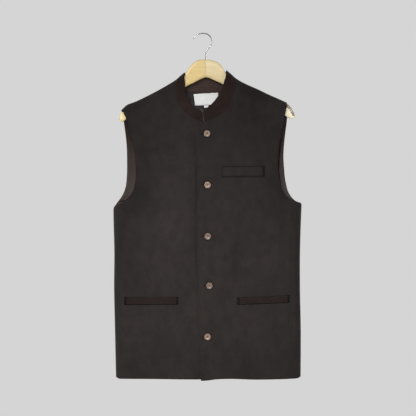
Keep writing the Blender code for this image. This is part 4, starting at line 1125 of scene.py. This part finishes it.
# buttons, each with two crossed bundles of three threads over its dish, and its shank
t = np.linspace(0, 1, 9)
arch = np.sin(math.pi * t)
over_dish = BUTTON_THICKNESS * BUTTON_PROFILE[-2][2] + 0.55 * MM * arch**0.5 - 0.9 * MM * (1 - arch**0.35)
for number, turn in enumerate(BUTTON_TURNS, 1):
    lo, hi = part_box("button_%d" % number)
    local = (Matrix.Translation(((lo[0] + hi[0]) / 2, hi[1], (lo[2] + hi[2]) / 2))
             @ Matrix.Rotation(math.pi / 2, 4, "X") @ Matrix.Rotation(math.radians(turn), 4, "Z"))
    made = pierced("button_%d_turned" % number, (hi[0] - lo[0]) / 2 - BUTTON_INSET, number)
    made.data.transform(local)
    put(made, "button_horn", "button_%d" % number)
    paths = [(np.stack([(2 * t - 1) * HOLE_PLACE - way * off, way * (2 * t - 1) * HOLE_PLACE + off, over_dish + lift],
                       -1), 0.52 * MM, 6)
             for way, lift in ((1, 0.0), (-1, 0.25 * MM)) for off in (-THREAD_APART, 0.0, THREAD_APART)]
    paths.append(([(0, 0, h * MM) for h in (-1.2, -0.4, 0.3)], 1.5 * MM, 14))
    threads["brown"] += [tube([tuple(local @ Vector(p)) for p in path], *rest) for path, *rest in paths]

# buttonholes, which end just past the button on the closing edge's side
around = np.linspace(0, 2 * math.pi, 60, endpoint=False)
c, s = np.cos(around), np.sin(around)
out = np.stack([c * 0.3, np.zeros(60), s], -1) * MM
hole_tree = tree_of(panels["left"])
for bx, bz in BUTTONS:
    found, _ = cast(hole_tree, (bx - 4.5 + 9.6 * squared(c, 0.6)) * MM, (bz + 1.15 * s) * MM)
    threads["dark"] += [tube([at - way * 0.5 + [0, 0.25 * MM, 0], at - [0, 0.32 * MM, 0],
                              at + way * 0.9 + [0, 0.2 * MM, 0]], 0.3 * MM, 5) for at, way in zip(found, out)]

for name, (colour, slot_name) in THREADS.items():
    put(merged("stitches_" + name, threads[name], thread("thread_" + name, colour)), slot_name)

# hanger and hook
around = np.radians(np.arange(0, 360, 4.5))
c, s = np.cos(around), np.sin(around)
for side, sign in SIDES:
    table = np.array(ARM[side]) * MM
    tail = table[-1, 0] - TAIL_FROM
    reach = np.concatenate([np.array([0.0, 0.25, 0.7, 1.4, *np.linspace(2.6, TAIL_FROM / MM, 180)]) * MM,
                            TAIL_FROM + tail * np.sin(np.linspace(0, math.pi / 2, 24))[1:]])[:, None]
    rounded = JOINT_ROUND * (1 - np.minimum(reach / JOINT_RUN, 1))
    top, bottom = np.moveaxis(smooth(reach[:, 0], table[:, 0], table[:, 1:]), 1, 0)[..., None]
    fade = np.clip((reach - TAIL_FROM) / tail, 0, 1)
    thick = ARM_THICKNESS * (1 - ARM_TAPER * reach / ARM_REACH) - 2 * rounded
    thick = thick * np.sqrt(np.maximum(1 - (ARM_END_ROUND * fade) ** 2, 0.0))
    x = HANGER_MIDDLE_X + sign * (SEAM_GAP / 2 + reach)
    verts = np.stack(np.broadcast_arrays(x, hanger_y(x) + thick * squared(c, 0.55) / 2,
                                         (top + bottom) / 2 + (top - bottom - 2 * rounded) * squared(s, 0.5) / 2),
                     -1).reshape(-1, 3)
    faces = ring_faces(len(reach), len(around)) + [range(len(around))[::-1], range(len(verts))[-len(around):]]
    # faces past that take the paler end wood, painted light; on the left arm the top ones take the grey, painted shade
    painted_shade = np.minimum(s, np.roll(s, -1)) > 0.12 - 0.4 * fade[:-1]
    slots = np.where(reach[:-1] < PAINTED_END_FROM, 0, np.where(painted_shade & (side == "left"), 2, 1))
    made = finished("hanger_%s_wood" % side, verts, faces, verts[:, [0, 2]],
                    [woods[side], woods[side + "_end"], woods["painted_shade"]], [*slots.ravel(), 0, 1], (len(faces) - 2,))
    put(made, "wood", "hanger_arm_" + side)

route = line_of(HOOK, 140) * MM
path = np.stack([route[:, 0], HANGER_Y * ease(-route[:, 1] / HOOK_LEAN_DROP), route[:, 1]], -1)
path = np.concatenate([path, path[-1:] - [[0, 0, 3.0 * MM]]])
put(merged("hook_wire", [tube(path, WIRE_RADIUS, 18)], steel("steel_wire")), "steel", "hook")


# ---- stage, light and camera ----

around = np.arange(96) * 2 * math.pi / 96
verts = np.stack([12 * np.cos(around), 12 * np.sin(around), np.full(96, FLOOR_Z)], -1)
pale = Finish("stage_floor", (0.72, 0.72, 0.72), 0.9, specular_ior_level=0.1)
finished("stage_floor", verts, [range(96)], verts[:, :2], [pale.material])

world = bpy.data.worlds.new("studio")
world.use_nodes = True
sky = world.node_tree
way, height, share, band = (sky.nodes.new("ShaderNode" + kind) for kind in
                            ("TexCoord", "SeparateXYZ", "MapRange", "ValToRGB"))
share.inputs["From Min"].default_value = -1.0
for start, end in ((way.outputs["Generated"], height), (height.outputs[2], share), (share.outputs[0], band),
                   (band.outputs[0], sky.nodes["Background"])):
    sky.links.new(start, end.inputs[0])
set_stops(band, SKY)
bpy.context.scene.world = world

for name, place, aim, power, colour, shape in LIGHTS:
    lamp = bpy.data.lights.new(name, "SPOT" if len(shape) > 1 else "AREA")
    if len(shape) > 1:
        lamp.spot_size, lamp.spot_blend, lamp.shadow_soft_size = math.radians(shape[0]), 1.0, shape[1]
    else:
        lamp.shape, lamp.size = "DISK", shape[0]
    lamp.energy, lamp.color = power, colour
    made = added(name, lamp)
    made.location = place
    made.rotation_euler = (Vector(aim) - Vector(place)).to_track_quat("-Z", "Y").to_euler()

camera = bpy.data.cameras.new("camera")
camera.lens, camera.sensor_width = 344.8, 36.0
camera.clip_start, camera.clip_end = 0.1, 100.0
viewer = added("camera", camera)
viewer.location = (0.011, -10.0, -0.437)
viewer.rotation_euler = (math.radians(90), 0, 0)
bpy.context.scene.camera = viewer
bpy.context.scene.view_settings.view_transform = "Standard"
